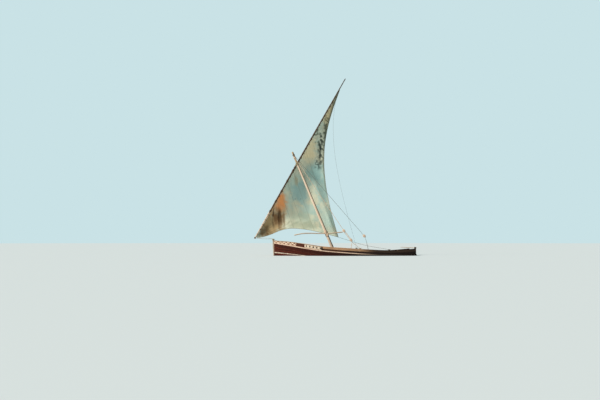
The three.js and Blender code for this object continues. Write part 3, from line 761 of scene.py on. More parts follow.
BLOCK_WOOD = Wood("block_wood", "pale_wood", 0.6, weather=0.2, cross_scale=50.0,
                  tones=((236, 210, 188), (206, 172, 146), (120, 88, 66), (240, 216, 190)))
BAND_PAINT = Paint("band_paint", "cream_paint", 0.5, cream=(250, 214, 188), under=(110, 72, 50),
                   dirt=(160, 126, 100), fades=(Fade(Axis.X, 0.4, 2.6, (30, 19, 14), 0.93),))
BOW_PAINT = Paint("bow_paint", "cream_paint", 0.5, cream=(246, 218, 190), under=(104, 62, 42), chips=0.5,
                  dirt=(156, 118, 90), motif=(116, 56, 34), pattern=Pattern.ZIGZAG, repeat=0.3)
PANEL_PAINT = Paint("panel_paint", "cream_paint", 0.5, cream=(248, 226, 200), under=(104, 62, 42), soil=0.25,
                    dirt=(150, 118, 92), motif=(50, 31, 25), pattern=Pattern.LOZENGES, repeat=0.26)
BROWN_PAINT = Paint("brown_panel_paint", "red_brown_wood", 0.5, cream=(92, 44, 28), under=(60, 34, 24),
                    dirt=(50, 30, 22), chips=0.4, soil=0.5)
STEM_PAINT = Paint("stem_paint", "cream_paint", 0.55, cream=(206, 184, 162), under=(98, 62, 44), chips=0.4,
                   dirt=(136, 108, 86), soil=0.5, grain=Grain.PIECE,
                   fades=(Fade(Axis.Z, -0.02, -0.16, (44, 32, 25)),))
BOOT_PAINT = Paint("boot_top_paint", "cream_paint", 0.6, cream=(248, 226, 204), under=(92, 60, 44),
                   dirt=(156, 128, 106), soil=0.35)
ROPE = Rope("laid_rope", "rope", 0.92, light=(176, 160, 128), dark=(104, 92, 72))
TARRED_ROPE = Rope("tarred_rope", "rope", 0.9, light=(96, 74, 54), dark=(50, 38, 28))
PALE_ROPE = Rope("pale_rope", "rope", 0.92, light=(240, 214, 188), dark=(178, 142, 110))
GREY_ROPE = Rope("grey_rope", "rope", 0.9, light=(142, 136, 124), dark=(84, 80, 74))
IRON = Iron("rusty_iron", "iron", 0.6)
FLOOR = Ground("pale_floor", "", 0.9)
# Stains on the sail, with two patches of painted shade among them.
SAIL_STAINS_AND_SHADE = tuple(Stain(*row) for row in (
    (-5.6, 2.4, 1.15, 1.4, (168, 132, 82), 0.85),
    (-5.0, 3.8, 0.65, 1.35, (226, 178, 130), 0.85),
    (-4.9, 4.2, 0.38, 0.8, (255, 160, 92), 0.82),
    (-5.15, 2.95, 0.4, 0.6, (112, 78, 48), 0.8),
    (-5.2, 2.9, 0.42, 0.75, (74, 48, 28), 0.85, Mark.RUN),
    (-4.75, 2.6, 0.25, 0.7, (116, 84, 52), 0.7, Mark.RUN),
    # Painted shade: this row darkens the cloth near the tack, under the yard's heel, where it lies in shadow.
    (-6.1, 1.8, 0.55, 0.5, (96, 70, 38), 0.8),
    (-3.6, 5.9, 0.22, 0.6, (172, 150, 108), 0.5, Mark.RUN),
    (-2.2, 6.4, 0.8, 1.0, (154, 192, 186), 0.75),
    (-1.6, 5.0, 0.6, 1.1, (158, 194, 188), 0.65),
    (-3.4, 4.8, 0.75, 0.9, (144, 188, 188), 0.75),
    (-2.5, 3.5, 1.0, 0.45, (168, 202, 196), 0.65),
    (-3.2, 2.9, 1.1, 0.5, (188, 200, 176), 0.6),
    (-1.2, 2.9, 0.9, 1.5, (178, 206, 196), 0.6),
    # Painted shade: this row darkens the sail low down in the middle.
    (-3.2, 2.3, 1.5, 0.35, (150, 158, 132), 0.55),
    (-2.7, 8.2, 0.6, 1.1, (248, 224, 178), 0.8),
    (-1.1, 10.6, 0.5, 1.2, (226, 200, 150), 0.7),
    (-1.65, 8.5, 0.32, 1.1, (46, 58, 52), 0.9, Mark.MOULD),
    (-1.8, 8.0, 0.22, 0.7, (50, 62, 56), 0.8, Mark.RUN),
    (-2.1, 9.3, 0.25, 0.7, (88, 98, 82), 0.7, Mark.MOULD),
    (-1.3, 9.8, 0.22, 1.0, (66, 72, 58), 0.8, Mark.MOULD),
    (-1.95, 7.1, 0.3, 0.45, (60, 74, 68), 0.75, Mark.MOULD),
    (-0.75, 11.6, 0.25, 0.9, (84, 76, 54), 0.65, Mark.RUN),
))
CANVAS = Canvas("old_canvas", "canvas", 0.95, stains=SAIL_STAINS_AND_SHADE,
                fades=(Fade(Axis.Z, 9.6, 12.6, (142, 128, 92), 0.8),))


def together(*parts: Any) -> Points:
    """Joins coordinates into points, spread over one another's rows and columns."""
    return np.stack(np.broadcast_arrays(*parts), -1)


def unit(vector: Sequence[float]) -> Points:
    """The vector at a length of one."""
    return np.array(vector, float) / np.linalg.norm(vector)


def tapered(share: Any, radii: Sequence[float]) -> Any:
    """A radius at a share of a length, from radii spaced evenly along it."""
    return np.interp(share, np.linspace(0, 1, len(radii)), radii)


def gone_along(path: Points) -> Points:
    """Distance along a path at each of its points."""
    return np.concatenate([[0.0], np.cumsum(np.linalg.norm(np.diff(path, axis=0), axis=1))])


def oval(count: int, first: Points, second: Points) -> Points:
    """Points evenly round an oval, from its two half axes."""
    angle = np.linspace(0, 2 * math.pi, count, endpoint=False)
    return np.outer(np.cos(angle), first) + np.outer(np.sin(angle), second)


def eased_outline(low: Sequence[Any], high: Sequence[Any], ease: float, steps: int) -> list[tuple[Any, Any]]:
    """Outline of a square section with eased corners.

    Args:
        low: Its two lower limits, as numbers or arrays.
        high: Its two upper limits.
        ease: Radius of the corners.
        steps: Points of each corner.

    Returns:
        The two coordinates of each point.
    """
    turn = np.linspace(0, math.pi / 2, steps)
    corner = list(zip(ease * (1 - np.cos(turn)), ease * (1 - np.sin(turn))))
    (a, b), (c, d) = low, high
    return ([(a + u, b + v) for u, v in corner] + [(c - v, b + u) for u, v in corner]
            + [(c - u, d - v) for u, v in corner] + [(a + v, d - u) for u, v in corner])


def smooth_path(points: Sequence[Sequence[float]], step: float) -> Points:
    """Runs a smooth curve through points.

    Args:
        points: What the curve passes through.
        step: Length between the points of the result.

    Returns:
        Evenly spaced points of the curve.
    """
    known = np.array(points, float)
    if len(known) == 2:
        count = max(int(np.linalg.norm(known[1] - known[0]) / step), 1) + 1
        return known[0] + np.linspace(0, 1, count)[:, None] * (known[1] - known[0])
    ends = np.vstack([2 * known[0] - known[1], known, 2 * known[-1] - known[-2]])
    share = np.linspace(0, 1, 24, endpoint=False)[:, None]
    fine = []
    for a, b, c, d in zip(ends, ends[1:], ends[2:], ends[3:]):
        bend = 2 * a - 5 * b + 4 * c - d
        fine.append(0.5 * (2 * b + (c - a) * share + bend * share**2 + (3 * b - a - 3 * c + d) * share**3))
    fine = np.vstack(fine + [known[-1:]])
    gone = gone_along(fine)
    even = np.linspace(0, gone[-1], max(int(gone[-1] / step), 1) + 1)
    return np.stack([np.interp(even, gone, line) for line in fine.T], -1)


@dataclass(frozen=True)
class Core:
    """A spar that a lashing goes round, cut across: its half widths and its middle."""

    half_u: float
    half_v: float
    u: float = 0.0
    v: float = 0.0


class Shape:
    """Parts of one piece, collected as points and faces."""

    def __init__(self) -> None:
        """Starts with nothing."""
        self.carried: dict[str, list[Points]] = defaultdict(list)
        self.faces: list[list[int]] = []
        self.marks: list[int] = []
        self.total = 0

    def loft(self, rings: Points, grain: Optional[Points] = None, band: Optional[Points] = None,
             edge: Any = 0.0, tone: float = 0.5, mark: int = 0, closed: bool = False) -> None:
        """Joins rings of points into one solid part.

        Args:
            rings: Rows of rings, each a closed loop of points.
            grain: Coordinates along and across the fibres, or the points themselves.
            band: Distance along the part and share across it.
            edge: How near each point is to a seam or groove.
            tone: The part's own tone, from 0 to 1.
            mark: Which of the piece's materials.
            closed: Whether the last ring meets the first.
        """
        rows, count = rings.shape[:2]
        size = rows * count
        index = self.total + np.arange(size).reshape(rows, count)
        flat = rings.reshape(-1, 3)
        self.carried["points"].append(flat)
        self.carried["grain"].append(flat if grain is None else grain.reshape(-1, 3))
        self.carried["band"].append(np.zeros((size, 3)) if band is None else band.reshape(-1, 3))
        self.carried["edge"].append(np.broadcast_to(edge, (rows, count)).reshape(-1))
        self.carried["tone"].append(np.full(size, tone))
        here = index if closed else index[:-1]
        there = np.roll(index, -1, axis=0)[: len(here)]
        corners = [here, np.roll(here, -1, 1), np.roll(there, -1, 1), there]
        quads = np.stack(corners, -1).reshape(-1, 4).tolist()
        if not closed:
            quads += [index[0, ::-1].tolist(), index[-1].tolist()]
        self.faces += quads
        self.marks += [mark] * len(quads)
        self.total += size

    def tube(self, path: Any, radii: Any, sides: int = 8, tone: float = 0.5, mark: int = 0, strands: int = 0,
             lay: float = 0.11, closed: bool = False) -> None:
        """Adds a round bar or rope along a path.

        Args:
            path: Points of its middle line.
            radii: Its radius, or one for each point.
            sides: Corners of its section.
            tone: Its own tone.
            mark: Which of the piece's materials.
            strands: Strands of a laid rope, or 0 for a plain bar.
            lay: Length of one turn of a strand.
            closed: Whether its end meets its start.
        """
        path = np.asarray(path, float)
        step = (np.roll(path, -1, 0) - np.roll(path, 1, 0)) if closed else np.gradient(path, axis=0)
        way = step / np.linalg.norm(step, axis=1, keepdims=True)
        side = [unit(np.cross(way[0], UP if abs(way[0][2]) < 0.9 else ACROSS))]
        for tangent in way[1:]:
            side.append(unit(side[-1] - np.dot(side[-1], tangent) * tangent))
        side = np.array(side)
        other = np.cross(way, side)
        gone = gone_along(path)[:, None]
        angle = np.linspace(0, 2 * math.pi, sides, endpoint=False)
        radius = np.broadcast_to(radii, len(path))[:, None] * np.ones(sides)
        groove = 0.0
        if strands:
            wave = np.cos(strands * (angle - 2 * math.pi * gone / lay / strands))
            radius = radius * (0.9 + 0.1 * wave)
            groove = 0.5 - 0.5 * wave
        u, v = radius * np.cos(angle), radius * np.sin(angle)
        rings = path[:, None] + u[..., None] * side[:, None] + v[..., None] * other[:, None]
        self.loft(rings, together(gone, u, v), edge=groove, tone=tone, mark=mark, closed=closed)

    def rope(self, points: Sequence[Sequence[float]], radius: float, sag: float = 0.0) -> None:
        """Adds a laid rope.

        Args:
            points: What it passes through.
            radius: Its radius.
            sag: How far its middle hangs below their line.
        """
        path = smooth_path(points, max(radius * 1.6, 0.014))
        share = np.linspace(0, 1, len(path))
        path[:, 2] -= sag * 4 * share * (1 - share)
        self.tube(path, radius, 12, strands=3, lay=radius * 9)

    def bar(self, low: Sequence[float], high: Sequence[float], ease: float, tone: float = 0.5,
            mark: int = 0) -> None:
        """Adds a straight block of wood with eased edges, its fibres along its longest side.

        Args:
            low: Its low corner.
            high: Its high corner.
            ease: Radius of its edges.
            tone: Its own tone.
            mark: Which of the piece's materials.
        """
        low, high = np.array(low, float), np.array(high, float)
        along = int(np.argmax(high - low))
        cross = [axis for axis in range(3) if axis != along]
        ease = min(ease, 0.3 * (high - low).min())
        outline = np.array(eased_outline(low[cross], high[cross], ease, 3))
        inward = np.sign((low + high)[cross] / 2 - outline)
        rings = np.zeros((4, len(outline), 3))
        start, end = low[along], high[along]
        rings[..., along] = np.array([start, start + ease, end - ease, end])[:, None]
        rings[..., cross] = outline + np.array([ease, 0, 0, ease])[:, None, None] * inward
        self.loft(rings, rings[..., [along, *cross]], tone=tone, mark=mark)

    def stud(self, centre: Points, way: Points, radius: float, height: float) -> None:
        """Adds one domed nail head, square to a face."""
        path = centre + np.outer((-1.0, 0.5, 1.0), unit(way) * height)
        self.tube(path, radius * np.array([1.0, 1.0, 0.55]), 6)

    def lash(self, middle: Points, axes: Sequence[Points], cores: Sequence[Core], turns: int,
             radius: float) -> None:
        """Winds a rope round one or more spars.

        Args:
            middle: Where the middle of the winding is.
            axes: Unit vectors of u, of v and of the way the winding runs.
            cores: The spars.
            turns: How many times it goes round.
            radius: The rope's radius.
        """
        per_turn = 26
        angle = np.arange(turns * per_turn + 1) * 2 * math.pi / per_turn
        way = together(np.cos(angle), np.sin(angle))
        best = np.full(len(angle), -np.inf)
        where = np.zeros((len(angle), 2))
        for core in cores:
            half = np.array([core.half_u, core.half_v])
            reach = np.sqrt(((half * way) ** 2).sum(-1))
            point = np.array([core.u, core.v]) + half**2 * way / reach[:, None]
            out = (point * way).sum(-1)
            where[out > best] = point[out > best]
            best = np.maximum(best, out)
        slide = (np.arange(len(angle)) / per_turn - turns / 2) * radius * 2.04
        offset = np.column_stack([where + way * radius * 1.05, slide])
        self.tube(middle + offset @ np.array(axes), radius, 7)

    def build(self, name: str, finishes: Sequence[Finish], replaced: Sequence[str] = (),
              body: Optional[str] = "hull", corner: float = 38.0) -> bpy.types.Object:
        """Makes the object.

        Args:
            name: The piece's name.
            finishes: Its materials, in the order of the marks.
            replaced: Solids that it stands for.
            body: The body it rides on, or None for a piece that rides on no body.
            corner: Angle in degrees over which an edge stays sharp.

        Returns:
            The object.
        """
        carried = {key: np.concatenate(parts) for key, parts in self.carried.items()}
        mesh = bpy.data.meshes.new(name)
        mesh.from_pydata(carried.pop("points").tolist(), [], self.faces)
        for key, values in carried.items():
            kind, field = ("FLOAT_VECTOR", "vector") if values.ndim == 2 else ("FLOAT", "value")
            mesh.attributes.new(key, kind, "POINT").data.foreach_set(field, values.ravel())
        mesh.polygons.foreach_set("material_index", self.marks)
        for finish in finishes:
            mesh.materials.append(finish.material())
        work = bmesh.new()
        work.from_mesh(mesh)
        bmesh.ops.recalc_face_normals(work, faces=work.faces)
        work.to_mesh(mesh)
        work.free()
        mesh.shade_smooth()
        mesh.set_sharp_from_angle(angle=math.radians(corner))
        piece = bpy.data.objects.new(name, mesh)
        bpy.context.scene.collection.objects.link(piece)
        finishes[0].slot
        if body:
            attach(piece, body)
        if replaced:
            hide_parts(*replaced)
        LOG.info("%s: %d faces", name, len(mesh.polygons))
        return piece


@dataclass(frozen=True)
class Station:
    """One row of the hull's lines: half beam and height of the planking's top, the rabbet, and the rail."""

    x: float
    beam: float
    sheer: float
    rabbet: float
    round: float
    hollow: float
    rail: float


class HullLines:
    """The hull's outer shape as a smooth surface, the same lines as the solids have."""

    ROWS = (
        Station(-5.4, 0.075, 0.985, -0.2, 0.0, 0.0, 1.152),
        Station(-5.0, 0.262, 0.94, -0.5, 0.1, 0.05, 1.125),
        Station(-4.3, 0.57, 0.835, -0.59, 0.25, 0.1, 1.072),
        Station(-3.2, 0.93, 0.64, -0.62, 0.5, 0.06, 0.922),
        Station(-1.8, 1.19, 0.425, -0.64, 0.75, 0.0, 0.716),
        Station(0.0, 1.33, 0.265, -0.65, 0.85, 0.0, 0.59),
        Station(1.8, 1.335, 0.15, -0.65, 0.85, 0.0, 0.474),
        Station(3.6, 1.16, 0.118, -0.61, 0.7, 0.1, 0.4),
        Station(5.25, 0.8, 0.165, -0.43, 0.45, 0.25, 0.535),
    )
    START = ROWS[0].x
    END = ROWS[-1].x
    KEEL_HALF = ROWS[0].beam
    CAP = 0.0353
    PLANKS = 9
    PLANK = 0.03
    FRAME = 0.07
    FLOOR_LEAST = 0.1
    FLOOR_LEVEL = -0.5
    GIRTH_STEP = 0.002
    STATION_STEP = 0.004

    def at(self, column: str, x: Any) -> Points:
        """One column of the lines, on a smooth curve through the rows.

        Args:
            column: A field of the rows.
            x: Stations.

        Returns:
            The values.
        """
        x = np.asarray(x, float)
        places = np.array([row.x for row in self.ROWS])
        values = np.array([getattr(row, column) for row in self.ROWS])
        rows = np.arange(len(places))
        before, after = np.maximum(rows - 1, 0), np.minimum(rows + 1, rows[-1])
        slopes = (values[after] - values[before]) / (places[after] - places[before])
        row = np.clip(np.searchsorted(places, x, side="left") - 1, 0, len(places) - 2)
        span = places[row + 1] - places[row]
        t = (x - places[row]) / span
        rise = t * t * (3 - 2 * t) * (values[row + 1] - values[row])
        bend = t * (1 - t) ** 2 * span * slopes[row]
        return values[row] + rise + bend + t * t * (t - 1) * span * slopes[row + 1]

    def point(self, x: Any, girth: Any) -> Points:
        """The starboard outer skin.

        Args:
            x: Stations.
            girth: 0 at the keel to 1 at the planking's top.

        Returns:
            Points.
        """
        beam, rounded, rabbet = self.at("beam", x) - self.KEEL_HALF, self.at("round", x), self.at("rabbet", x)
        hollow = self.at("hollow", x) * np.sin(math.pi * girth) * (1 - girth)
        turn = girth * math.pi / 2
        out = (1 - rounded) * girth + rounded * np.sin(turn) - hollow
        up = (1 - rounded) * girth + rounded * (1 - np.cos(turn))
        return together(x, self.KEEL_HALF + beam * out, rabbet + (self.at("sheer", x) - rabbet) * up)

    def board_top(self, x: Any) -> Points:
        """Top outer edge of the boards above the planking.

        Args:
            x: Stations.

        Returns:
            Points on starboard.
        """
        rounded, beam = self.at("round", x), self.at("beam", x) - self.KEEL_HALF
        sheer, top = self.at("sheer", x), self.at("rail", x) - self.CAP
        depth = sheer - self.at("rabbet", x)
        flare = beam * (1 - rounded) / (depth * (1 - rounded + rounded * math.pi / 2))
        return together(x, self.KEEL_HALF + beam + flare * (top - sheer), top)

    def normal(self, x: Any, girth: Any) -> Points:
        """Unit vectors that point out of the starboard skin.

        Args:
            x: Stations.
            girth: Girths.

        Returns:
            The vectors.
        """
        low, high = np.maximum(girth - self.GIRTH_STEP, 0), np.minimum(girth + self.GIRTH_STEP, 1)
        fore, aft = np.maximum(x - self.STATION_STEP, self.START), np.minimum(x + self.STATION_STEP, self.END)
        along = self.point(aft, girth) - self.point(fore, girth)
        out = np.cross(along, self.point(x, high) - self.point(x, low))
        out = out / np.linalg.norm(out, axis=-1, keepdims=True)
        return np.where(out[..., 1:2] < 0, -out, out)

    def skin(self, x: Any, girth: Any, depth: Any = 0.0) -> Points:
        """Points a distance inside the skin, at their own stations.

        Args:
            x: Stations.
            girth: 0 to 1 over the planking, 1 to 2 over the boards.
            depth: Distance inside the outer face, below 0 for outside.

        Returns:
            Points on starboard.
        """
        x, girth, depth = np.broadcast_arrays(x, girth, depth)
        low = np.minimum(girth, 1.0)
        out = self.normal(x, low)[..., 1:]
        point, top = self.point(x, low), self.board_top(x)
        point[..., 1:] -= out * (depth / (out**2).sum(-1))[..., None]
        top[..., 1] -= depth / self.normal(x, 1.0)[..., 1]
        return point + np.maximum(girth - 1, 0)[..., None] * (top - point)

    def girth_at(self, x: float, z: float, depth: float = 0.0) -> float:
        """Girth where the skin passes a height at a station."""
        girths = np.linspace(0, 1, 60)
        return float(np.interp(z, self.skin(x, girths, depth)[:, 2], girths))

    def half_breadth(self, x: float, z: float, depth: float) -> float:
        """Half the boat's width at a station and height."""
        return float(self.skin(x, self.girth_at(x, z, depth), depth)[1])

    def floor(self, x: float) -> float:
        """Height of the frames' flat floors at a station."""
        return max(float(self.at("rabbet", x)) + self.FLOOR_LEAST, self.FLOOR_LEVEL)


LINES = HullLines()


def on_side(points: Points, side: Side) -> Points:
    """The same points on the given side."""
    return points * np.array([1.0, side.value, 1.0])


def lengths(ends: Sequence[float], gap: float = 0.0008) -> list[tuple[float, float]]:
    """Fore and after ends of the lengths of a board, with a gap at each of its butts."""
    return [(start + gap, end - gap) for start, end in zip(ends, ends[1:])]


@dataclass
class Strake:
    """How a long board follows the skin: girths of its edges, and its depths inside the outer face."""

    low: float
    high: float
    outer: float
    inner: float = LINES.PLANK
    crown: float = 0.0
    ease: float = 0.004
    band_from: float = LINES.START
    rise: float = 0.0
    row_step: float = 0.09

    def add(self, shape: Shape, side: Side, start: float, end: float, tone: float = 0.5,
            mark: int = 0) -> None:
        """Adds one length of the board.

        Args:
            shape: The piece it is added to.
            side: The side of the boat.
            start: Station of its fore end.
            end: Station of its after end.
            tone: Its own tone.
            mark: Which of the piece's materials.
        """
        x = np.linspace(start, end, max(int((end - start) / self.row_step), 2) + 1)
        lip = min(self.ease, 0.3 * (end - start))
        x = np.concatenate([[start, start + lip], x[1:-1], [end - lip, end]])[:, None]
        sunk = np.zeros(x.shape)
        sunk[[0, -1]] = self.ease
        width = np.linalg.norm(LINES.skin(x, self.high) - LINES.skin(x, self.low), axis=-1).mean()
        rim = self.ease / width
        across = np.array([0.0, rim, 0.25, 0.5, 0.75, 1 - rim, 1.0])
        dip = np.array([self.ease, 0, 0, 0, 0, 0, self.ease])
        swell = self.crown * (1 - (2 * across - 1) ** 2)
        low = self.low + self.rise * (x - LINES.START) / (LINES.END - LINES.START)
        girth = low + (self.high - low) * across
        outer = LINES.skin(x, girth, self.outer + dip - swell + sunk)
        inner = LINES.skin(x, girth[:, [-1, 0]], self.inner - sunk)
        rings = on_side(np.concatenate([outer, inner], 1), side)
        share = np.concatenate([across, [1.0, 0.0]])
        inside = np.repeat([0.0, 1.0], [len(across), 2])
        seam = np.array([1.0, 0.15, 0, 0, 0, 0.15, 1.0, 0.3, 0.3])
        shift = tone * 37.0
        grain = together(rings[..., 0] + shift, share * width, shift)
        band = together(rings[..., 0] - self.band_from, share, inside)
        shape.loft(rings, grain, band, np.maximum(seam, (sunk > 0) * 0.8), tone, mark)


@dataclass
class Hull:
    """The hull's skin, its boards, bands, rails and frames."""

    seam: float = 0.0006
    caulk_half: float = 0.0016
    caulk_depth: float = 0.003
    fore_butt: float = -2.3
    fore_shift: float = 0.9
    after_butt: float = 1.4
    after_shift: float = 0.8
    butt_half: float = 0.006
    wash_split: float = 1.45
    wash_start: float = -1.935
    wash_proud: float = 0.02
    wash_butts: tuple[float, ...] = (0.9, 3.3)
    post_width: float = 0.11
    board_seam: float = 0.0025
    dark_panel: tuple[float, float] = (-3.77, -3.16)
    band_proud: float = 0.037
    band_back: float = -0.0015
    band_split: float = 0.944
    band_butts: tuple[float, ...] = (-2.1, 1.6)
    cap_reach: float = 0.105
    cap_overhang: float = 0.03
    cap_least: float = 0.042
    cap_butts: tuple[float, ...] = (-3.6, -0.7, 2.4)
    boot_span: tuple[float, float] = (-5.36, -2.9)
    boot_high: float = 0.25
    boot_low: float = -0.03
    boot_half: float = 0.03
    frame_count: int = 9
    first_frame: float = -4.7
    frame_spacing: float = 1.13
    frame_width: float = 0.06
    rib_size: float = 0.045
    beam_places: tuple[float, ...] = (-4.0, -1.1, 0.41, 2.64, 4.0)
    beam_clear: float = 0.13
    transom_thick: float = 0.05
    transom_planks: int = 6

    def __post_init__(self) -> None:
        """Seeds the tones of the boards."""
        self.rng = np.random.default_rng(11)

    def tone(self) -> float:
        """The next board's tone."""
        return float(self.rng.random())

    def planking(self, side: Side) -> None:
        """Lays the strakes of one side, each in three lengths with butts that don't line up.

        Args:
            side: The side of the boat.
        """
        shape = Shape()
        count = LINES.PLANKS
        butts = set()
        for row in range(count):
            strake = Strake(row / count + self.seam, (row + 1) / count - self.seam, 0.0, crown=0.0015)
            fore, after = self.fore_shift * (row % 3), self.after_shift * ((row + 1) % 3)
            pair = (self.fore_butt + fore, self.after_butt + after)
            butts.update(pair)
            for start, end in lengths([LINES.START, *pair, LINES.END]):
                strake.add(shape, side, start, end, self.tone())
        for row in range(1, count):
            caulk = Strake(row / count - self.caulk_half, row / count + self.caulk_half, self.caulk_depth,
                           LINES.PLANK - self.caulk_depth, ease=0.0005)
            caulk.add(shape, side, LINES.START + 0.002, LINES.END - 0.002, mark=1)
        plug = Strake(0.01, 0.99, 2 * self.caulk_depth, LINES.PLANK - 2 * self.caulk_depth, ease=0.0005)
        for butt in sorted(butts):
            plug.add(shape, side, butt - self.butt_half, butt + self.butt_half, mark=1)
        names = [f"{band}_planking_{side.word}" for band in ("bottom", "bilge", "topside")]
        shape.build(f"planking_{side.word}", [TOPSIDE, CAULK], names)

    def bow_board(self, side: Side) -> None:
        """Fits the painted bow board with its dark panel.

        Args:
            side: The side of the boat.
        """
        shape = Shape()
        ends = [LINES.START, *self.dark_panel, self.wash_start]
        for mark, (start, (fore, aft)) in enumerate(zip(ends, lengths(ends))):
            Strake(1 + self.board_seam, 2.0, 0.0, band_from=start).add(shape, side, fore, aft, mark=mark)
        shape.build(f"painted_bow_board_{side.word}", [BOW_PAINT, BROWN_PAINT, PANEL_PAINT],
                    [f"bow_board_{side.word}"])

    def washboard(self, side: Side) -> None:
        """Raises the washboard in two strakes, with a post at its fore end.

        Args:
            side: The side of the boat.
        """
        shape = Shape()
        low = 1 + self.board_seam
        lower = Strake(low, self.wash_split, -self.wash_proud, ease=0.007)
        upper = Strake(self.wash_split + 0.004, 2.0, -self.wash_proud - 0.006, crown=0.003, ease=0.008)
        ends = [self.wash_start + 0.001, *self.wash_butts, LINES.END]
        for number, (fore, aft) in enumerate(zip(ends, ends[1:])):
            lower.add(shape, side, fore, aft - 0.001, 0.4 + 0.2 * number)
            upper.add(shape, side, fore, aft - 0.001, 0.5 + 0.15 * number, 1)
        post = Strake(low, 1.98, -self.wash_proud - 0.014, ease=0.006)
        post.add(shape, side, self.wash_start + 0.002, self.wash_start + self.post_width, 0.2, 2)
        shape.build(f"raised_washboard_{side.word}", [WASHBOARD, CAP_WOOD, CAULK], [f"washboard_{side.word}"])

    def band(self, side: Side) -> None:
        """Runs the rubbing band along the top strake, cream above and dark below.

        Args:
            side: The side of the boat.
        """
        shape = Shape()
        painted = Strake(self.band_split, 1 - self.board_seam, -self.band_proud, self.band_back, crown=0.008,
                         ease=0.012, rise=0.01)
        wale = Strake(1 - 1 / LINES.PLANKS, self.band_split - 0.0005, 0.004 - self.band_proud,
                      self.band_back, crown=0.004, ease=0.01)
        for number, (start, end) in enumerate(lengths([LINES.START, *self.band_butts, LINES.END])):
            painted.add(shape, side, start, end, 0.35 + 0.15 * number)
            wale.add(shape, side, start, end, 0.3 + 0.2 * number, 1)
        shape.build(f"cream_band_{side.word}", [BAND_PAINT, TOPSIDE], [f"rubbing_band_{side.word}"])

    def cap(self, side: Side) -> None:
        """Lays the rail cap in four lengths.

        Args:
            side: The side of the boat.
        """
        shape = Shape()
        ends = [LINES.START, *self.cap_butts, LINES.END]
        for number, (start, end) in enumerate(zip(ends, ends[1:])):
            x = np.linspace(start + 0.001, end - 0.001, int((end - start) / 0.1) + 2)
            outside, top = LINES.board_top(x)[:, 1], LINES.at("rail", x)
            low = np.maximum(outside - self.cap_reach, self.cap_least)
            corner = (low, top - LINES.CAP + 0.0003)
            outline = eased_outline(corner, (outside + self.cap_overhang, top), 0.011, 4)
            rings = np.stack([together(x, y, z) for y, z in outline], 1)
            grain = rings - together(-number * 11.0, low, top)[:, None]
            shape.loft(on_side(rings, side), grain, tone=0.35 + 0.12 * number)
        shape.build(f"rounded_rail_cap_{side.word}", [CAP_WOOD], [f"rail_cap_{side.word}"])

    def boot_top(self, side: Side) -> None:
        """Paints the thin pale line that dips into the water a third of the way aft.

        Args:
            side: The side of the boat.
        """
        shape = Shape()
        start, end = self.boot_span
        x = np.linspace(start, end, 60)
        share = (end - x) / (end - start)
        height = self.boot_low + (self.boot_high - self.boot_low) * share**0.85
        half = self.boot_half * (0.6 + 0.7 * share)
        edges = (height - half, height + half)
        low, high = [np.array([LINES.girth_at(*at) for at in zip(x, edge)]) for edge in edges]
        corners = ((low, -0.003), (high, -0.003), (high, 0.002), (low, 0.002))
        shape.loft(on_side(np.stack([LINES.skin(x, *corner) for corner in corners], 1), side))
        shape.build(f"boot_top_line_{side.word}", [BOOT_PAINT])

    @staticmethod
    def section(x: float, depth: float, top: float) -> Points:
        """Line across the boat, from the port rail round to starboard.

        Args:
            x: Station.
            depth: Distance inside the outer face.
            top: Girth where it ends.

        Returns:
            Points.
        """
        girth = np.linspace(0, min(top, 1.0), 26)
        if top > 1:
            girth = np.concatenate([girth, np.linspace(1, top, 4)[1:]])
        half = LINES.skin(x, girth, depth)
        return np.vstack([on_side(half, Side.PORT)[::-1], half])

    def rib(self, shape: Shape, x: float, width: float, depth: float, top: float) -> None:
        """Adds one curved timber across the boat, flat over the keel.

        Args:
            shape: The piece it is added to.
            x: Station of its middle.
            width: Its width along the boat.
            depth: Its depth inside the planking.
            top: Girth where it ends.
        """
        ease, half, tone = 0.006, width / 2, self.tone()
        sides = np.array([(-half, 0.0), (half, 0.0), (half, depth - ease), (half - ease, depth),
                          (ease - half, depth), (-half, depth - ease)])
        lines = []
        for shift, inside in sides:
            line = self.section(x + shift, LINES.PLANK + 0.0005 + inside, top)
            if inside > 0:
                line[:, 2] = np.maximum(line[:, 2], LINES.floor(x) - (depth - inside))
            lines.append(line)
        grain = together(gone_along(lines[0])[:, None] + 9 * tone, *sides.T)
        shape.loft(np.stack(lines, 1), grain, tone=tone)

    def frames(self) -> None:
        """Sets up the main frames, and lighter ribs between them that clear the beams."""
        light = Shape()
        for number in range(self.frame_count):
            x = self.first_frame + number * self.frame_spacing
            shape = Shape()
            self.rib(shape, x, self.frame_width, LINES.FRAME, 2.0)
            shape.build(f"main_frame_{number + 1}", [GREY_PART], [f"frame_{number + 1}"])
            for part in (1, 2):
                place = x + part * self.frame_spacing / 3
                free = min(abs(place - beam) for beam in self.beam_places) > self.beam_clear
                if free and place < LINES.END - 0.12:
                    self.rib(light, place, self.rib_size, self.rib_size, 0.97)
        light.build("light_ribs", [GREY_PART])

    def fastenings(self) -> None:
        """Drives two nails through each strake at each rib."""
        shape = Shape()
        step = self.frame_spacing / 3
        places = np.arange(self.first_frame - step, LINES.END - 0.1, step)
        along = places[places > self.wash_start + 0.1]
        count = LINES.PLANKS
        planks = [(row + part) / count for row in range(count - 1) for part in (0.25, 0.75)]
        rows = [(places, girth, -0.0012, 0.009, 0.003) for girth in planks]
        rows += [(along, girth, -self.wash_proud, 0.011, 0.004) for girth in (1.3, 1.75)]
        for side in Side:
            for x, girth, depth, radius, height in rows:
                for point, way in zip(LINES.skin(x, girth, depth), LINES.normal(x, min(girth, 1.0))):
                    shape.stud(on_side(point, side), on_side(way, side), radius, height)
        shape.build("plank_nails", [IRON])

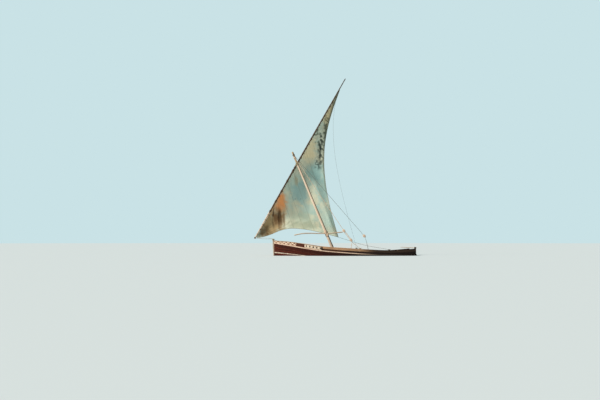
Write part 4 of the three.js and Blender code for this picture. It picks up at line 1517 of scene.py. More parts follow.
    def transom(self) -> None:
        """Closes the stern with level planks inside the skin."""
        shape = Shape()
        face = LINES.END - LINES.PLANK
        front_face = face - self.transom_thick
        edge = LINES.skin(front_face, np.linspace(0, 2, 240), 0.0306)
        low, top = LINES.skin(face, 0.0, 0.0303)[2], LINES.board_top(face)[2]
        levels = np.linspace(low + 0.002, top - 0.001, self.transom_planks + 1)
        across = np.linspace(-1, 1, 9)[:, None]
        for number, (bottom, upper) in enumerate(zip(levels, levels[1:])):
            middle = (bottom + upper) / 2
            heights = np.array([bottom + 0.001, bottom + 0.005, middle, upper - 0.005, upper - 0.001])
            y = across * (np.interp(heights, edge[:, 2], edge[:, 1]) - 0.001)
            back = together(face - np.array([0.004, 0, 0, 0, 0.004]), y, heights)
            front = together(front_face, y[:, [4, 0]], heights[[4, 0]])
            rings = np.concatenate([back, front], 1)
            shape.loft(rings, rings[..., [1, 2, 0]] + number * 3.0, edge=[1, 0.1, 0, 0.1, 1, 0.3, 0.3],
                       tone=self.tone())
        shape.build("planked_transom", [WASHBOARD], ["transom"])

    def build(self) -> None:
        """Builds the whole hull."""
        for side in Side:
            self.planking(side)
            self.bow_board(side)
            self.washboard(side)
            self.band(side)
            self.cap(side)
            self.boot_top(side)
        self.frames()
        self.fastenings()
        self.transom()


@dataclass
class Decks:
    """Planked decks and bottom boards, cut to the outlines of their solids."""

    plank: float = 0.125
    gap: float = 0.005
    ease: float = 0.004
    keelson_clear: float = 0.075

    def outline(self, node: str) -> tuple[Points, Points]:
        """Half width of a solid along the boat, from the frame.

        Args:
            node: The solid's name.

        Returns:
            Stations and half widths.
        """
        points = np.array([vertex.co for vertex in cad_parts[node].data.vertices])
        stations = np.unique(points[:, 0].round(4))
        widths = [np.abs(points[np.abs(points[:, 0] - x) < 2e-4, 1]).max() for x in stations]
        return stations, np.array(widths)

    def lay(self, shape: Shape, node: str, low: float, high: float, tone: float, side: Side) -> None:
        """Adds one plank between two distances from the centre line, cut to the outline.

        Args:
            shape: The piece it is added to.
            node: The solid whose outline and heights it keeps.
            low: Where the gap at its inner edge is.
            high: Where the gap at its outer edge is.
            tone: Its own tone.
            side: The side of the boat.
        """
        low, high = low + self.gap / 2, high - self.gap / 2
        stations, widths = self.outline(node)
        bottom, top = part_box(node)[0][2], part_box(node)[1][2]
        x = np.linspace(stations[0] + 0.001, stations[-1] - 0.001, 60)
        half = np.interp(x, stations, widths) - 0.001
        keep = half > low + 0.02
        x, outer = x[keep], np.minimum(half[keep], high)
        if len(x) < 2:
            return
        corners = [(low, bottom), (outer, bottom), (outer, top - self.ease), (outer - self.ease, top),
                   (low + self.ease, top), (low, top - self.ease)]
        rings = on_side(np.stack([together(x, y, z) for y, z in corners], 1), side)
        shape.loft(rings, rings + tone * 17.0, edge=[0.6, 0.6, 0.8, 0, 0, 0.8], tone=tone)

    def build(self) -> None:
        """Lays the decks and the bottom boards."""
        rng = np.random.default_rng(5)
        for node in ("foredeck", "stern_deck"):
            shape = Shape()
            edges = np.arange(0, self.outline(node)[1].max() + self.plank, self.plank)
            for low, high in zip(edges, edges[1:]):
                for side in Side:
                    self.lay(shape, node, low, high, float(rng.random()), side)
            shape.build(f"planked_{node}", [DECK_WOOD], [node])
        for side in Side:
            shape = Shape()
            node = f"bottom_boards_{side.word}"
            edges = np.linspace(self.keelson_clear, self.outline(node)[1].max() + 0.002, 4)
            for low, high in zip(edges, edges[1:]):
                self.lay(shape, node, low, high, float(rng.random()), side)
            shape.build(f"planked_{node}", [GREY_PART], [node])


@dataclass
class Spars:
    """The mast, the two-piece yard and the ridge pole."""

    mast_rail: tuple[float, float] = (-1.01, 0.78)
    mast_head: tuple[float, float] = (-4.01, 7.93)
    mast_foot_z: float = -0.4
    mast_radii: tuple[float, float] = (0.125, 0.07)
    step_top: float = -0.299
    cheek_z: float = 7.62
    cheek_out: float = 0.066
    wedge_z: float = -0.22
    yard_heel: tuple[float, float] = (-6.88, 1.28)
    yard_peak: tuple[float, float] = (0.13, 13.69)
    lower_end: float = 6.34
    upper_start: float = 2.29
    lower_radii: tuple[float, ...] = (0.04, 0.052, 0.06, 0.06, 0.052, 0.044)
    upper_radii: tuple[float, ...] = (0.044, 0.056, 0.065, 0.065, 0.06, 0.052, 0.043, 0.034)
    round_end: float = 0.03
    pole_radius: float = 0.042
    pole_height: float = 1.69

    def __post_init__(self) -> None:
        """Works out the lines of the mast and the yard."""
        (rail_x, rail_z), (head_x, head_z) = self.mast_rail, self.mast_head
        self.mast_slope = (head_x - rail_x) / (head_z - rail_z)
        self.mast_up = unit((self.mast_slope, 0.0, 1.0))
        self.mast_axes = (np.array([self.mast_up[2], 0.0, -self.mast_up[0]]), ACROSS, self.mast_up)
        run = (self.yard_peak[0] - self.yard_heel[0], 0.0, self.yard_peak[1] - self.yard_heel[1])
        self.yard_length = float(np.linalg.norm(run))
        self.yard_up = unit(run)
        self.yard_below = np.array([self.yard_up[2], 0.0, -self.yard_up[0]])
        self.yard_axes = (ACROSS, self.yard_below, self.yard_up)
        self.upper_y = sum(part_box("yard_upper_spar")[end][1] for end in (0, 1)) / 2
        self.lower_y = sum(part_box("yard_lower_spar")[end][1] for end in (0, 1)) / 2
        slope = run[0] / run[2]
        apart = rail_x - self.mast_slope * rail_z - self.yard_heel[0] + slope * self.yard_heel[1]
        self.crossing_z = apart / (slope - self.mast_slope)

    def mast_at(self, z: float) -> Points:
        """The mast's middle at a height."""
        return np.array([self.mast_rail[0] + (z - self.mast_rail[1]) * self.mast_slope, 0.0, z])

    def mast_radius(self, z: float) -> float:
        """The mast's radius at a height."""
        share = (z - self.mast_foot_z) / (self.mast_head[1] - self.mast_foot_z)
        return self.mast_radii[0] + (self.mast_radii[1] - self.mast_radii[0]) * share

    def on_yard(self, distance: float, y: float) -> Points:
        """A point on the yard's line, a distance from its heel."""
        return np.array([self.yard_heel[0], y, self.yard_heel[1]]) + self.yard_up * distance

    def lower_radius(self, distance: Any) -> Any:
        """The lower spar's radius at distances from the yard's heel."""
        return tapered(distance / self.lower_end, self.lower_radii)

    def upper_radius(self, distance: Any) -> Any:
        """The upper spar's radius at distances from the yard's heel."""
        gone = distance - self.upper_start
        return tapered(gone / (self.yard_length - self.upper_start), self.upper_radii)

    def natural(self, start: Points, end: Points, radii: Sequence[float], seed: int) -> Shape:
        """Cuts a spar from a natural pole: round ends and a slightly uneven girth.

        Args:
            start: Middle of its first end.
            end: Middle of its other end.
            radii: Radii spaced evenly along it.
            seed: What its unevenness starts from.

        Returns:
            The spar.
        """
        rng = np.random.default_rng(seed)
        length = np.linalg.norm(end - start)
        tip = np.array([0.0, self.round_end * 0.3, self.round_end])
        place = np.concatenate([tip, np.arange(0.08, length - 0.08, 0.05), length - tip[::-1]])
        radius = tapered(place / length, radii)
        bumps = sum(np.sin(place * f + p) for f, p in zip(rng.uniform(2, 14, 5), rng.uniform(0, 6, 5))) / 5
        radius = radius * (0.975 + 0.015 * bumps)
        inside = np.minimum(np.minimum(place, length - place) / self.round_end, 1.0)
        radius = radius * np.sqrt(np.clip(1 - (1 - inside) ** 2 * 0.75, 0.05, 1))
        shape = Shape()
        shape.tube(start + np.outer(place, unit(end - start)), radius, 24, tone=float(rng.random()))
        return shape

    def mast(self) -> None:
        """Steps the mast, with wedges round its foot and cheeks at its head."""
        foot = self.mast_at(self.step_top + 0.02)
        radii = [self.mast_radius(z) for z in np.linspace(foot[2], self.mast_head[1], 8)]
        mast = self.natural(foot, self.mast_at(self.mast_head[1]), radii, 3)
        mast.build("tapered_mast", [MAST_WOOD], ["mast"])
        head = Shape()
        for side in Side:
            middle = self.mast_at(self.cheek_z) + ACROSS * side.value * self.cheek_out
            path = middle + np.outer((-0.2, -0.14, 0.0, 0.14, 0.2), self.mast_up)
            head.tube(path, (0.012, 0.026, 0.03, 0.026, 0.012), 10, tone=0.3 + 0.2 * side.value)
        head.build("masthead_cheeks", [DARK_PART])
        wedges = Shape()
        for turn in range(6):
            angle = turn * math.pi / 3 + 0.4
            way = np.array([math.cos(angle) * 1.15, math.sin(angle), 0.0])
            place = self.mast_at(self.wedge_z) + 0.15 * way
            wedges.bar(place - [0.03, 0.03, 0.075], place + [0.03, 0.03, 0.045], 0.005, 0.3 + 0.1 * turn)
        wedges.build("mast_wedges", [GREY_PART])

    def yard(self) -> None:
        """Hangs the two spars of the yard."""
        lower = self.natural(self.on_yard(0, self.lower_y), self.on_yard(self.lower_end, self.lower_y),
                             self.lower_radii, 7)
        lower.build("pale_lower_spar", [LOWER_SPAR], ["yard_lower_spar"], "yard")
        upper = self.natural(self.on_yard(self.upper_start, self.upper_y),
                             self.on_yard(self.yard_length, self.upper_y), self.upper_radii, 8)
        upper.build("grey_upper_spar", [DARK_SPAR], ["yard_upper_spar"], "yard")

    def ridge_pole(self) -> None:
        """Lashes the ridge pole to the mast."""
        y = -(self.mast_radius(self.pole_height) + self.pole_radius + 0.0005)
        at_mast = self.mast_at(self.pole_height)[0]
        bends = ((-3.89, 1.56), (-3.0, 1.7), (at_mast, self.pole_height), (-0.15, 1.8))
        path = smooth_path([(x, y, z) for x, z in bends], 0.05)
        uneven = 0.96 + 0.03 * np.sin(np.linspace(0, 30, len(path)) + np.random.default_rng(2).random())
        uneven[[0, -1]] = 0.7
        shape = Shape()
        shape.tube(path, self.pole_radius * uneven, 16, tone=0.35)
        shape.build("long_ridge_pole", [PALE_SPAR], ["ridge_pole"])

    def build(self) -> None:
        """Builds all spars."""
        self.mast()
        self.yard()
        self.ridge_pole()


@dataclass
class Sail:
    """The lateen sail: its cut, its belly and how it hangs under the yard."""

    spars: Spars
    tack: float = 0.12
    clew: float = 3.3
    head: float = 13.33
    reach: float = 5.53
    foot_hollow: float = 1.41
    leech_hollow: float = 1.348
    belly: float = 0.085
    lean: float = 0.055
    twist: float = 0.26
    change: tuple[float, float] = (1.5, 2.5)
    gap: float = 0.0008
    thick: float = 0.004
    bolt_rope_radius: float = 0.011
    roband_step: float = 0.42
    roband_radius: float = 0.006
    scallop: float = 0.004
    flutter: float = 0.014
    foot_rows: int = 74
    leech_rows: int = 177
    columns: int = 76
    flat: tuple[float, float] = (5.7, 13.3)
    flat_area: float = 27.0

    def __post_init__(self) -> None:
        """Works out where the cloth starts and ends along the yard."""
        self.start, self.end = self.tack + 0.05, self.head - 0.04

    def width(self, distance: Any) -> Points:
        """Width of the sail, square to the yard.

        Args:
            distance: Distances along the yard from its heel.

        Returns:
            The widths.
        """
        low = np.clip((distance - self.tack) / (self.clew - self.tack), 0, 1)
        high = np.clip((distance - self.clew) / (self.head - self.clew), 0, 1)
        foot = self.reach * low - self.foot_hollow * np.sin(math.pi * low**1.55)
        leech = self.reach * (1 - high) - self.leech_hollow * np.sin(math.pi * high**0.92)
        return np.where(distance <= self.clew, foot, leech)

    def luff_y(self, distance: Any) -> Any:
        """How far to starboard the luff is: under the lower spar, then under the upper one."""
        share = np.clip((distance - self.change[0]) / (self.change[1] - self.change[0]), 0, 1)
        return self.spars.lower_y + (self.spars.upper_y - self.spars.lower_y) * share**2 * (3 - 2 * share)

    def luff_offset(self, distance: Any) -> Any:
        """How far under the yard's line the luff is.

        Args:
            distance: Distances along the yard from its heel.

        Returns:
            The distances.
        """
        lower, upper = self.spars.lower_radius(distance), self.spars.upper_radius(distance)
        both = np.where(distance > self.spars.upper_start, np.maximum(lower, upper), lower)
        start, end = self.change
        return np.where(distance < start, lower, np.where(distance > end, upper, both)) + self.gap

    def point(self, distance: Any, across: Any) -> Points:
        """Points of the cloth, with its scallops and wrinkles.

        Args:
            distance: Distances along the yard from its heel.
            across: 0 at the luff to 1 at the foot or leech.

        Returns:
            Points.
        """
        width = self.width(distance)
        run = across * width
        share = np.clip((distance - self.clew) / (self.head - self.clew), 0, 1)
        swing = np.cos(2 * math.pi * distance / self.roband_step)
        down = self.luff_offset(distance) + run + self.scallop * (0.5 - 0.5 * swing) * np.exp(-run / 0.16)
        y = self.luff_y(distance) + self.belly * width * np.sin(math.pi * across**0.8) + self.lean * run
        y = y + self.twist * across * np.sin(math.pi * share) + self.flutter * swing * np.exp(-run / 0.5)
        y = y + self.wrinkles(distance, across, width)
        on_yard = self.spars.on_yard(together(distance), 0.0)
        return together(0, y, 0) + on_yard + down[..., None] * self.spars.yard_below

    def wrinkles(self, distance: Any, across: Any, width: Any) -> Points:
        """Creases that fan out from the tack and the clew, and loose cloth along the edges.

        Args:
            distance: Distances along the yard from its heel.
            across: 0 at the luff to 1 at the foot or leech.
            width: Widths of the sail there.

        Returns:
            How far they move the cloth.
        """
        run = across * width
        from_tack = np.arctan2(run, np.maximum(distance - self.tack, 0.05))
        far = np.hypot(run, distance - self.tack)
        uneven = 5 * np.sin(from_tack * 7 + far * 0.6) + 2 * np.sin(from_tack * 17)
        fan = 0.011 * np.sin(from_tack * 34 + uneven) * np.exp(-far / 2.2) * np.clip(far, 0, 1)
        clew_far = np.hypot(self.reach - run, distance - self.clew)
        from_clew = np.arctan2(self.reach - run, distance - self.clew)
        pull = 0.022 * np.sin(from_clew * 21 + 3 * np.sin(from_clew * 5)) * np.exp(-clew_far / 1.8)
        loose = 0.03 * across**6 * np.sin(distance * 4.4) * np.clip(width / 2, 0, 1)
        soft = 0.02 * np.sin(distance * 2.1 + run * 1.7) * np.sin(run * 2.6 + 0.6 * distance)
        creases = fan + pull * np.clip(clew_far, 0, 1) + loose + soft * np.clip(run, 0, 1)
        return creases * np.clip(run * 4, 0, 1)

    def cloth(self) -> bpy.types.Object:
        """Cuts the sail as one thin sheet.

        Returns:
            The sail.
        """
        distance = np.concatenate([np.linspace(self.start, self.clew, self.foot_rows)[:-1],
                                   np.linspace(self.clew, self.end, self.leech_rows)])[:, None]
        across = np.linspace(0, 1, self.columns)
        grid = self.point(distance, across)
        out = np.cross(np.gradient(grid, axis=0), np.gradient(grid, axis=1))
        out /= np.maximum(np.linalg.norm(out, axis=-1, keepdims=True), 1e-9)
        front, back = grid + out * self.thick / 2, grid - out * self.thick / 2
        share = np.concatenate([across, across[::-1]])
        shape = Shape()
        shape.loft(np.concatenate([front, back[:, ::-1]], 1),
                   band=together(distance, share, (1 - share) * self.width(distance)))
        return shape.build("stained_sail", [CANVAS], ["sail"], "yard", corner=80.0)

    def bolt_rope(self) -> bpy.types.Object:
        """Sews a rope along the foot and the leech.

        Returns:
            The rope.
        """
        shape = Shape()
        for start, end, count in ((self.start, self.clew, 150), (self.clew, self.end, 420)):
            line = self.point(np.linspace(start, end, count), 1.0)
            shape.tube(line + self.spars.yard_below * 0.004, self.bolt_rope_radius, 8, strands=3, lay=0.1)
        return shape.build("bolt_rope", [ROPE], body="yard")

    def robands(self) -> bpy.types.Object:
        """Ties the luff to the yard with short ropes.

        Returns:
            The ties.
        """
        shape = Shape()
        for distance in np.arange(self.roband_step, self.head - 0.2, self.roband_step):
            radius = self.luff_offset(distance) - self.gap
            cores = [Core(radius, radius), Core(0.008, 0.004, v=radius + 0.035)]
            middle = self.spars.on_yard(distance, self.luff_y(distance))
            shape.lash(middle, self.spars.yard_axes, cores, 2, self.roband_radius)
        return shape.build("robands", [TARRED_ROPE], body="yard")

    def build(self) -> None:
        """Makes the sail and what is sewn and tied to it."""
        sail = self.cloth()
        pieces = [self.bolt_rope(), self.robands()]


@dataclass
class Rigging:
    """Halyard, tackle, shroud, lashings and light lines."""

    spars: Spars
    sail: Sail
    rope: float = 0.016
    shroud_rope: float = 0.012
    tackle_rope: float = 0.015
    small_rope: float = 0.009
    heavy_rope: float = 0.014
    beam_rope: float = 0.012
    line_rope: float = 0.01
    end_rope: float = 0.011
    seizing: float = 0.005
    thin: float = 0.006
    above_rail: float = 0.04
    eye_top: float = 0.045
    eye_radius: float = 0.022
    pin_radius: float = 0.01
    halyard_z: float = 7.48
    shroud_z: float = 7.68
    tie_z: float = 7.6
    upper_block: tuple[float, float, float] = (-0.2, -1.13, 1.89)
    lower_block: tuple[float, float, float] = (0.32, -1.27, 1.19)
    shroud_block: tuple[float, float, float] = (1.325, -1.25, 1.5)
    lower_strop_x: float = 0.31
    shroud_strop_x: float = 1.6
    fall_x: float = 1.0
    vang_x: float = 1.15
    sheet_x: float = 3.7
    block_half: float = 0.125
    block_radius: float = 0.087
    cheek: Pairs = ((0.12, 0.94), (0.14, 1.0), (0.27, 1.0), (0.36, 0.88), (0.4, 0.6))
    sheave: Pairs = ((0.11, 0.5), (0.1, 0.53), (0.03, 0.44))
    yard_turns: tuple[tuple[float, int], ...] = ((2.42, 7), (3.3, 9), (4.2, 9), (5.1, 9), (6.0, 9), (6.26, 5))
    stem_head: tuple[float, float, float] = (-5.46, 0.0, 1.27)
    deck_eye: tuple[float, float, float] = (-4.75, 0.05, 0.9)

    def on_rail(self, x: float, side: Side) -> Points:
        """A point on top of the rail cap."""
        y = LINES.board_top(x)[1] - 0.03
        return np.array([x, side.value * y, float(LINES.at("rail", x))])

    def beside_mast(self, z: float) -> Points:
        """Where a rope starts on the port side of the mast."""
        return self.spars.mast_at(z) - ACROSS * (self.spars.mast_radius(z) + self.rope + 0.001)

    def block(self, name: str, centre: Points, towards: Points, replaced: Sequence[str]) -> Points:
        """Builds a wooden block: two cheeks, a sheave on its pin and a rope strop round it.

        Args:
            name: The piece's name.
            centre: Its middle.
            towards: The point that its rope leads to.
            replaced: Solids that it stands for.

        Returns:
            The unit vector along the block.
        """
        up = unit(towards - centre)
        pin = unit(np.cross(up, (0.35, 0.0, 1.0)))
        wide = np.cross(pin, up)
        shape = Shape()
        half, radius = self.block_half, self.block_radius
        rim = oval(28, up * half * 0.95, wide * radius)
        for sign in (-1, 1):
            rings = np.array([centre + pin * sign * depth * half + rim * size for depth, size in self.cheek])
            shape.loft(rings, (rings - centre) @ np.array([up, wide, pin]).T, tone=0.4 + 0.15 * sign)
            core = centre + up * sign * half * 0.74
            shape.tube([core - pin * half * 0.13, core + pin * half * 0.13], half * 0.2, 10, tone=0.3)
        wheel = [(-s, r) for s, r in self.sheave] + list(self.sheave[::-1])
        shape.tube([centre + pin * half * s for s, _ in wheel], [half * r for _, r in wheel], 24, mark=1)
        shape.tube([centre - pin * half * 0.46, centre + pin * half * 0.46], self.pin_radius, 12, mark=1)
        strop = centre + oval(28, up * (half + 0.003), wide * (radius + 0.006))
        for sign in (-1, 1):
            shape.tube(strop + pin * sign * half * 0.22, self.small_rope, 7, mark=2, closed=True)
        shape.build(name, [BLOCK_WOOD, IRON, PALE_ROPE], replaced)
        return up

    def hoist(self, shape: Shape, block: Points, up: Points, z: float, radius: float) -> None:
        """Leads a rope from a block to the masthead and winds it round.

        Args:
            shape: The piece it is added to.
            block: The block's middle.
            up: The unit vector along the block.
            z: Height on the mast.
            radius: The rope's radius.
        """
        shape.rope([block + up * (self.block_half + 0.01), self.beside_mast(z)], radius)
        mast = self.spars.mast_radius(z)
        shape.lash(self.spars.mast_at(z), self.spars.mast_axes, [Core(mast, mast)], 3, radius)

    def strop(self, shape: Shape, foot: Points, block: Points, up: Points) -> None:
        """Holds a block to the rail with two parts of rope.

        Args:
            shape: The piece they are added to.
            foot: The point on the rail.
            block: The block's middle.
            up: The unit vector along the block, away from the rail.
        """
        for shift in (-0.012, 0.012):
            eye = foot + [shift, 0, self.eye_top]
            shape.rope([eye, block - up * (self.block_half + 0.005)], self.small_rope)

    def eye(self, shape: Shape, foot: Points) -> None:
        """Adds an iron eye.

        Args:
            shape: The piece it is added to.
            foot: The point on the rail.
        """
        ring = foot + UP * 0.03 + oval(20, ALONG * self.eye_radius, UP * self.eye_radius)
        shape.tube(ring, self.thin, 8, mark=1, closed=True)
        shape.tube([foot - [0, 0, 0.002], foot + [0, 0, 0.006]], 0.02, 12, mark=1)

    def cleat(self, shape: Shape, foot: Points, mark: int) -> None:
        """Adds a wooden horn cleat along the rail, with turns of rope on it.

        Args:
            shape: The piece it is added to.
            foot: The point on the rail.
            mark: Which of the piece's materials is its wood.
        """
        path = foot + together((-0.13, -0.08, 0.0, 0.08, 0.13), 0.0, (0.052, 0.04, 0.036, 0.04, 0.052))
        shape.tube(path, (0.008, 0.014, 0.017, 0.014, 0.008), 10, mark=mark)
        shape.bar(foot - [0.035, 0.015, 0.0], foot + [0.035, 0.015, 0.03], 0.004, mark=mark)
        for shift in (-0.06, 0.06):
            shape.lash(foot + [shift, 0.0, 0.038], (ACROSS, UP, ALONG), [Core(0.016, 0.016)], 3, self.thin)

    def halyard(self) -> None:
        """Reeves the halyard from the masthead to its tackle on the port rail."""
        upper, lower = np.array(self.upper_block), np.array(self.lower_block)
        up = self.block("upper_halyard_tackle_block", upper, self.beside_mast(self.halyard_z),
                        ["upper_halyard_block"])
        shape = Shape()
        self.hoist(shape, upper, up, self.halyard_z, self.rope)
        shape.build("laid_halyard", [PALE_ROPE], ["halyard"])
        foot = self.on_rail(self.lower_strop_x, Side.PORT)
        down = self.block("lower_halyard_tackle_block", lower, upper, ["lower_halyard_block"])
        tackle = Shape()
        side = unit(np.cross(down, ACROSS))
        for shift in (-0.05, 0.0, 0.05):
            aside = side * shift
            tackle.rope([lower + down * 0.06 + aside, upper - up * 0.06 + aside], self.tackle_rope)
        fall = self.on_rail(self.fall_x, Side.PORT)
        lead, end = lower + side * 0.062, fall + UP * self.above_rail
        tackle.rope([lead, (lead + end) / 2, end], self.tackle_rope, sag=0.02)
        self.strop(tackle, foot, lower, down)
        middle = (foot + UP * self.eye_top + lower - down * self.block_half) / 2
        tackle.lash(middle, (ALONG, ACROSS, UP), [Core(0.02, 0.012)], 4, self.seizing)
        self.eye(tackle, foot)
        self.cleat(tackle, fall, 2)
        tackle.build("halyard_tackle_ropes", [PALE_ROPE, IRON, DARK_PART], ["halyard_tackle"])

    def shroud(self) -> None:
        """Sets up the shroud on the port rail."""
        block = np.array(self.shroud_block)
        up = self.block("port_shroud_block", block, self.beside_mast(self.shroud_z), ["shroud_block"])
        shape = Shape()
        self.hoist(shape, block, up, self.shroud_z, self.shroud_rope)
        foot = self.on_rail(self.shroud_strop_x, Side.PORT)
        self.strop(shape, foot, block, up)
        self.eye(shape, foot)
        shape.build("laid_port_shroud", [GREY_ROPE, IRON], ["port_shroud"])

    def lashings(self) -> None:
        """Lashes the yard's spars together and the ridge pole to the mast."""
        spars = self.spars
        yard = Shape()
        for distance, turns in self.yard_turns:
            low, high = spars.lower_radius(distance), spars.upper_radius(distance)
            cores = [Core(low, low, spars.lower_y), Core(high, high, spars.upper_y)]
            yard.lash(spars.on_yard(distance, 0.0), spars.yard_axes, cores, turns, self.small_rope)
        heel = Core(spars.lower_radii[0], spars.lower_radii[0])
        for distance in (0.06, 0.1):
            middle = spars.on_yard(distance, spars.lower_y)
            yard.lash(middle, spars.yard_axes, [heel], 3, self.end_rope)
        yard.build("yard_lashings", [TARRED_ROPE], body="yard")
        fixed = Shape()
        mast, pole = spars.mast_radius(spars.pole_height), spars.pole_radius
        for shift in (-0.09, 0.09):
            cores = [Core(mast, mast), Core(pole * 1.15, pole, -shift * 0.3, -(mast + pole))]
            middle = spars.mast_at(spars.pole_height + shift)
            fixed.lash(middle, spars.mast_axes, cores, 6, self.heavy_rope)
        fixed.build("ridge_pole_lashing", [PALE_ROPE])

    def beam_lashing(self) -> None:
        """Lashes the mast to its beam: round behind the mast, over the beam, down its fore face and back."""
        low, high = (np.array(corner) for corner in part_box("mast_beam"))
        radius = self.beam_rope
        over, under, front = high[2] + radius, low[2] - radius, low[0] - radius
        reach = self.spars.mast_radius(over) + radius * 1.3
        shape = Shape()
        for turn in range(4):
            slide = turn * radius * 2.05
            y = reach * 0.55 + slide
            leads = []
            for level, sign in ((over, 1), (under, -1)):
                x, _, z = self.spars.mast_at(level + sign * (0.03 + slide))
                midway = ((x + front) / 2, (reach + y) / 2, level + sign * 0.008)
                leads.append([(x + reach, 0.0, z), (x + reach * 0.3, reach, z - sign * 0.01), midway,
                              (front + 0.02, y, level)])
            half = leads[0] + [(front, y, (over + under) / 2)] + leads[1][::-1]
            other = [(x, -out, z) for x, out, z in half[-2:0:-1]]
            path = smooth_path(half + other + half[:1], 0.02)[:-1]
            shape.tube(path, radius, 8, strands=3, lay=radius * 9, closed=True)
        shape.build("mast_beam_lashing", [ROPE])

    def parrel(self) -> None:
        """Winds the parrel round the mast and the yard at their crossing."""
        spars = self.spars
        shape = Shape()
        z = spars.crossing_z
        radius = spars.mast_radius(z - 0.08) + 0.0015
        lean = np.dot(spars.yard_up, spars.mast_up)
        offset = np.dot(spars.yard_up, spars.mast_axes[0])
        thick = max(spars.upper_radii)
        for shift in (-0.075, 0.0, 0.075):
            cores = [Core(radius, radius), Core(thick / lean, thick, shift * offset / lean, spars.upper_y)]
            middle = spars.mast_at(z) + spars.mast_up * shift
            shape.lash(middle, spars.mast_axes, cores, 2, self.heavy_rope)
        shape.build("parrel_ropes", [ROPE], ["parrel"], "yard")

    def crossing_line(self, name: str, points: Sequence[Sequence[float]], radius: float, finish: Finish) -> None:
        """Runs a rope between the hull and the yard, on no body.

        Args:
            name: The piece's name.
            points: What it passes through.
            radius: Its radius.
            finish: Its finish.
        """
        shape = Shape()
        shape.rope(points, radius)
        piece = shape.build(name, [finish], body=None)
        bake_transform(piece)

    def light_lines(self) -> None:
        """Leads the tie, the vang, the sheet and the tack lines."""
        spars = self.spars
        low = spars.mast_at(spars.crossing_z) + [0.0, spars.upper_y + 0.03, 0.06] + spars.yard_up * 0.1
        top = spars.mast_at(self.tie_z) + ACROSS * (spars.mast_radius(self.tie_z) + 0.018)
        self.crossing_line("halyard_tie", [low, (low + top) / 2, top], self.rope, PALE_ROPE)
        feet = [self.on_rail(x, Side.STARBOARD) for x in (self.vang_x, self.sheet_x)]
        rail, quarter = (foot + UP * self.above_rail for foot in feet)
        peak = spars.on_yard(spars.yard_length - 0.12, spars.upper_y)
        bow = np.array([-1.22, -0.1, 0.0])
        share = np.linspace(0, 1, 13)[:, None]
        vang = peak + (rail - peak) * share + bow * np.sin(math.pi * share**0.7)
        self.crossing_line("peak_vang", vang, self.thin, GREY_ROPE)
        clew = self.sail.point(self.sail.clew, 1.0)
        middle = (clew + quarter) / 2 - UP * 0.12
        self.crossing_line("sheet", [clew, middle, quarter], self.line_rope, ROPE)
        heel = spars.on_yard(0.08, spars.lower_y)
        stem, deck = np.array(self.stem_head), np.array(self.deck_eye)
        line = [heel, (heel + stem) / 2 - UP * 0.03, stem + UP * 0.012]
        self.crossing_line("tack_line", line, self.line_rope, ROPE)
        line = [heel + [0.03, 0, -0.02], (heel + deck) / 2 + [0.1, 0, 0.2], deck]
        self.crossing_line("tack_tackle", line, self.small_rope, PALE_ROPE)
        ends = Shape()
        for foot in feet:
            self.cleat(ends, foot, 1)
        ends.lash(stem - UP * 0.04, (ALONG, ACROSS, UP), [Core(0.07, 0.082)], 4, self.end_rope)
        ends.build("rail_cleats", [ROPE, DARK_PART])

    def build(self) -> None:
        """Rigs the boat."""
        self.halyard()
        self.shroud()
        self.lashings()
        self.beam_lashing()
        self.parrel()
        self.light_lines()


@dataclass
class Steering:
    """The tiller and the straps on the rudder."""

    tiller_radii: Pairs = ((0.0, 0.012), (0.04, 0.019), (0.12, 0.016), (0.3, 0.021), (1.0, 0.0225))
    straps: tuple[float, ...] = (-0.56, 0.36)
    strap_width: float = 0.035
    strap_reach: float = 0.13
    strap_back: float = -0.0025
    strap_face: float = 0.006
    bolts: tuple[float, ...] = (0.03, 0.075, 0.115)
    bolt_radius: float = 0.008
    blade_half: float = 0.033

    def build(self) -> None:
        """Shapes the tiller and bolts the straps to the blade."""
        low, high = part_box("tiller")
        start, end = np.array([low[0], 0.0, high[2] - 0.02]), np.array([high[0], 0.0, low[2] + 0.023])
        path = smooth_path([start, (start + end) / 2, end], 0.04)
        radius = np.interp(np.linspace(0, 1, len(path)), *zip(*self.tiller_radii))
        tiller = Shape()
        tiller.tube(path, radius, 16)
        tiller.build("shaped_tiller", [PALE_SPAR], ["tiller"], "rudder")
        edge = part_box("rudder_blade")[0][0]
        shape = Shape()
        for z in self.straps:
            for side in Side:
                face = side.value * (self.blade_half + self.strap_face)
                low, high = sorted((side.value * (self.blade_half + self.strap_back), face))
                top = z + self.strap_width
                shape.bar((edge - 0.004, low, z), (edge + self.strap_reach, high, top), 0.0015)
                for x in self.bolts:
                    centre = np.array([edge + x, face, (z + top) / 2])
                    shape.stud(centre, ACROSS * side.value, self.bolt_radius, self.bolt_radius / 2)
        shape.build("rudder_straps", [IRON], body="rudder")


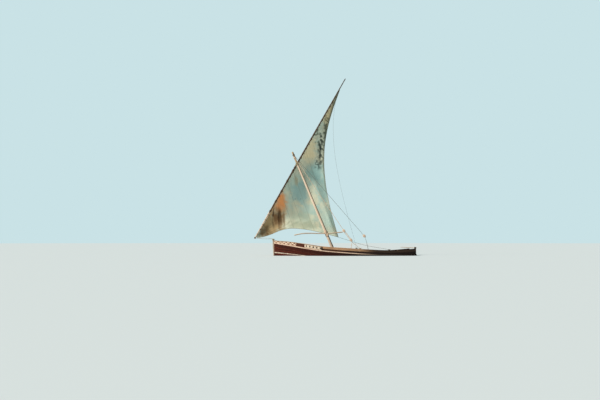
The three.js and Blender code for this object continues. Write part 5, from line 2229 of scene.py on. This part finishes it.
@dataclass
class KeptSolids:
    """Solids whose own shape is right: they get eased edges and a finish."""

    ease: float = 0.006
    iron_ease: float = 0.0015

    def dress(self, node: str, finish: Finish, ease: float) -> None:
        """Eases one solid's edges and paints it.

        Args:
            node: The solid's name.
            finish: Its finish.
            ease: Width of the eased edge.
        """
        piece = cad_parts[node]
        weld = piece.modifiers.new("weld", "WELD")
        weld.merge_threshold = 0.00005
        bevel = piece.modifiers.new("eased edges", "BEVEL")
        bevel.width = ease
        bevel.segments = 2
        bevel.limit_method = "ANGLE"
        bevel.angle_limit = math.radians(35)
        for place in piece.material_slots:
            place.material = finish.material()
        LOG.info("%s dressed", node)

    def build(self) -> None:
        """Dresses every solid that is kept."""
        self.dress("stem_post", STEM_PAINT, self.ease)
        for node in ("keel", "stern_post", "mast_step", "rudder_blade"):
            self.dress(node, DARK_WOOD, self.ease)
        beams = [f"{name}_beam" for name in ("fore", "mast", "main", "after", "stern")]
        for node in ("keelson", "beam_shelf_port", "beam_shelf_starboard", *beams):
            self.dress(node, GREY_WOOD, self.ease)
        for node in ("gudgeon_1", "gudgeon_2", "pintle_1", "pintle_2"):
            self.dress(node, IRON, self.iron_ease)


@dataclass
class Studio:
    """Camera, lights and floor."""

    azimuth: float = -8.0
    distance: float = 64.0
    eye: float = 1.19
    yaw: float = -3.05
    pitch: float = 2.75
    lens: float = 50.0
    sensor: float = 36.0
    floor_rings: tuple[float, ...] = (7.5, 20.0, 70.0, 260.0)
    sun_turn: float = -70.0
    sun_height: float = 35.0
    sun_strength: float = 4.2
    sun_width: float = 9.0
    sun_colour: Colour = (1.0, 0.965, 0.91)
    sky: Colour = (203, 228, 232)
    sky_strength: float = 0.44
    sky_seen: float = 0.98

    @staticmethod
    def place(name: str, data: Optional[bpy.types.ID], look: Optional[Vector] = None) -> bpy.types.Object:
        """Puts a thing in the scene.

        Args:
            name: Its name.
            data: What it is.
            look: The way it looks or shines, if it has one.

        Returns:
            Its object.
        """
        thing = bpy.data.objects.new(name, data)
        if look:
            thing.rotation_mode = "QUATERNION"
            thing.rotation_quaternion = look.to_track_quat("-Z", "Y")
        bpy.context.scene.collection.objects.link(thing)
        return thing

    def camera(self) -> None:
        """Stands the camera where the photograph was taken from, on the port side."""
        turn, tilt = math.radians(self.azimuth), math.radians(self.pitch)
        aim = turn - math.radians(self.yaw)
        look = Vector((-math.sin(aim) * math.cos(tilt), math.cos(aim) * math.cos(tilt), math.sin(tilt)))
        data = bpy.data.cameras.new("camera")
        data.lens, data.sensor_width = self.lens, self.sensor
        data.clip_start, data.clip_end = 0.5, 1000.0
        camera = self.place("camera", data, look)
        camera.location = (math.sin(turn) * self.distance, -math.cos(turn) * self.distance, self.eye)
        bpy.context.scene.camera = camera

    def light(self) -> None:
        """Sets a soft key light from the bow side and a pale sky all round."""
        data = bpy.data.lights.new("key", "SUN")
        data.energy = self.sun_strength
        data.angle = math.radians(self.sun_width)
        data.color = self.sun_colour
        turn, rise = math.radians(self.sun_turn), math.radians(self.sun_height)
        back = Vector((math.sin(turn) * math.cos(rise), -math.cos(turn) * math.cos(rise), math.sin(rise)))
        self.place("key", data, -back)
        world = bpy.data.worlds.new("studio")
        world.use_nodes = True
        background = world.node_tree.nodes["Background"]
        background.inputs["Color"].default_value = linear(self.sky)
        tree = Tree(world.node_tree)
        seen = tree.add("LightPath").outputs["Is Camera Ray"]
        strength = tree.plus(tree.times(seen, self.sky_seen - self.sky_strength), self.sky_strength)
        tree.feed(background.inputs["Strength"], strength)
        bpy.context.scene.world = world
        bpy.context.scene.view_settings.view_transform = "Standard"

    def floor(self) -> None:
        """Lays the floor at the waterline, open where the hull passes through it."""
        x = np.linspace(LINES.START + 0.002, LINES.END - 0.045, 70)
        half = np.array([LINES.half_breadth(a, 0.0, 0.014) for a in x])
        outline = np.concatenate([together(x, half), together(x, -half)[::-1]])
        angle = np.unwrap(np.arctan2(outline[:, 1], outline[:, 0]))
        circle = together(np.cos(angle), np.sin(angle))
        rings = [outline, outline * 1.06 + circle * 0.1]
        rings += [circle * reach for reach in self.floor_rings]
        points = np.concatenate([np.column_stack([ring, np.zeros(len(ring))]) for ring in rings])
        index = np.arange(len(points)).reshape(len(rings), -1)
        after = np.roll(index, -1, 1)
        faces = np.stack([index[:-1], after[:-1], after[1:], index[1:]], -1).reshape(-1, 4)
        mesh = bpy.data.meshes.new("floor")
        mesh.from_pydata(points.tolist(), [], faces.tolist())
        mesh.materials.append(FLOOR.material())
        floor = self.place("floor", mesh)

    def build(self) -> None:
        """Sets up the studio."""
        self.camera()
        self.light()
        self.floor()


def main() -> None:
    """Builds the boat piece by piece."""
    logging.basicConfig(level=logging.INFO, format="%(message)s")
    Effects().build()
    Studio().build()
    Hull().build()
    Decks().build()
    KeptSolids().build()
    spars = Spars()
    spars.build()
    sail = Sail(spars)
    sail.build()
    Rigging(spars, sail).build()
    Steering().build()


if __name__ == "__main__":
    main()
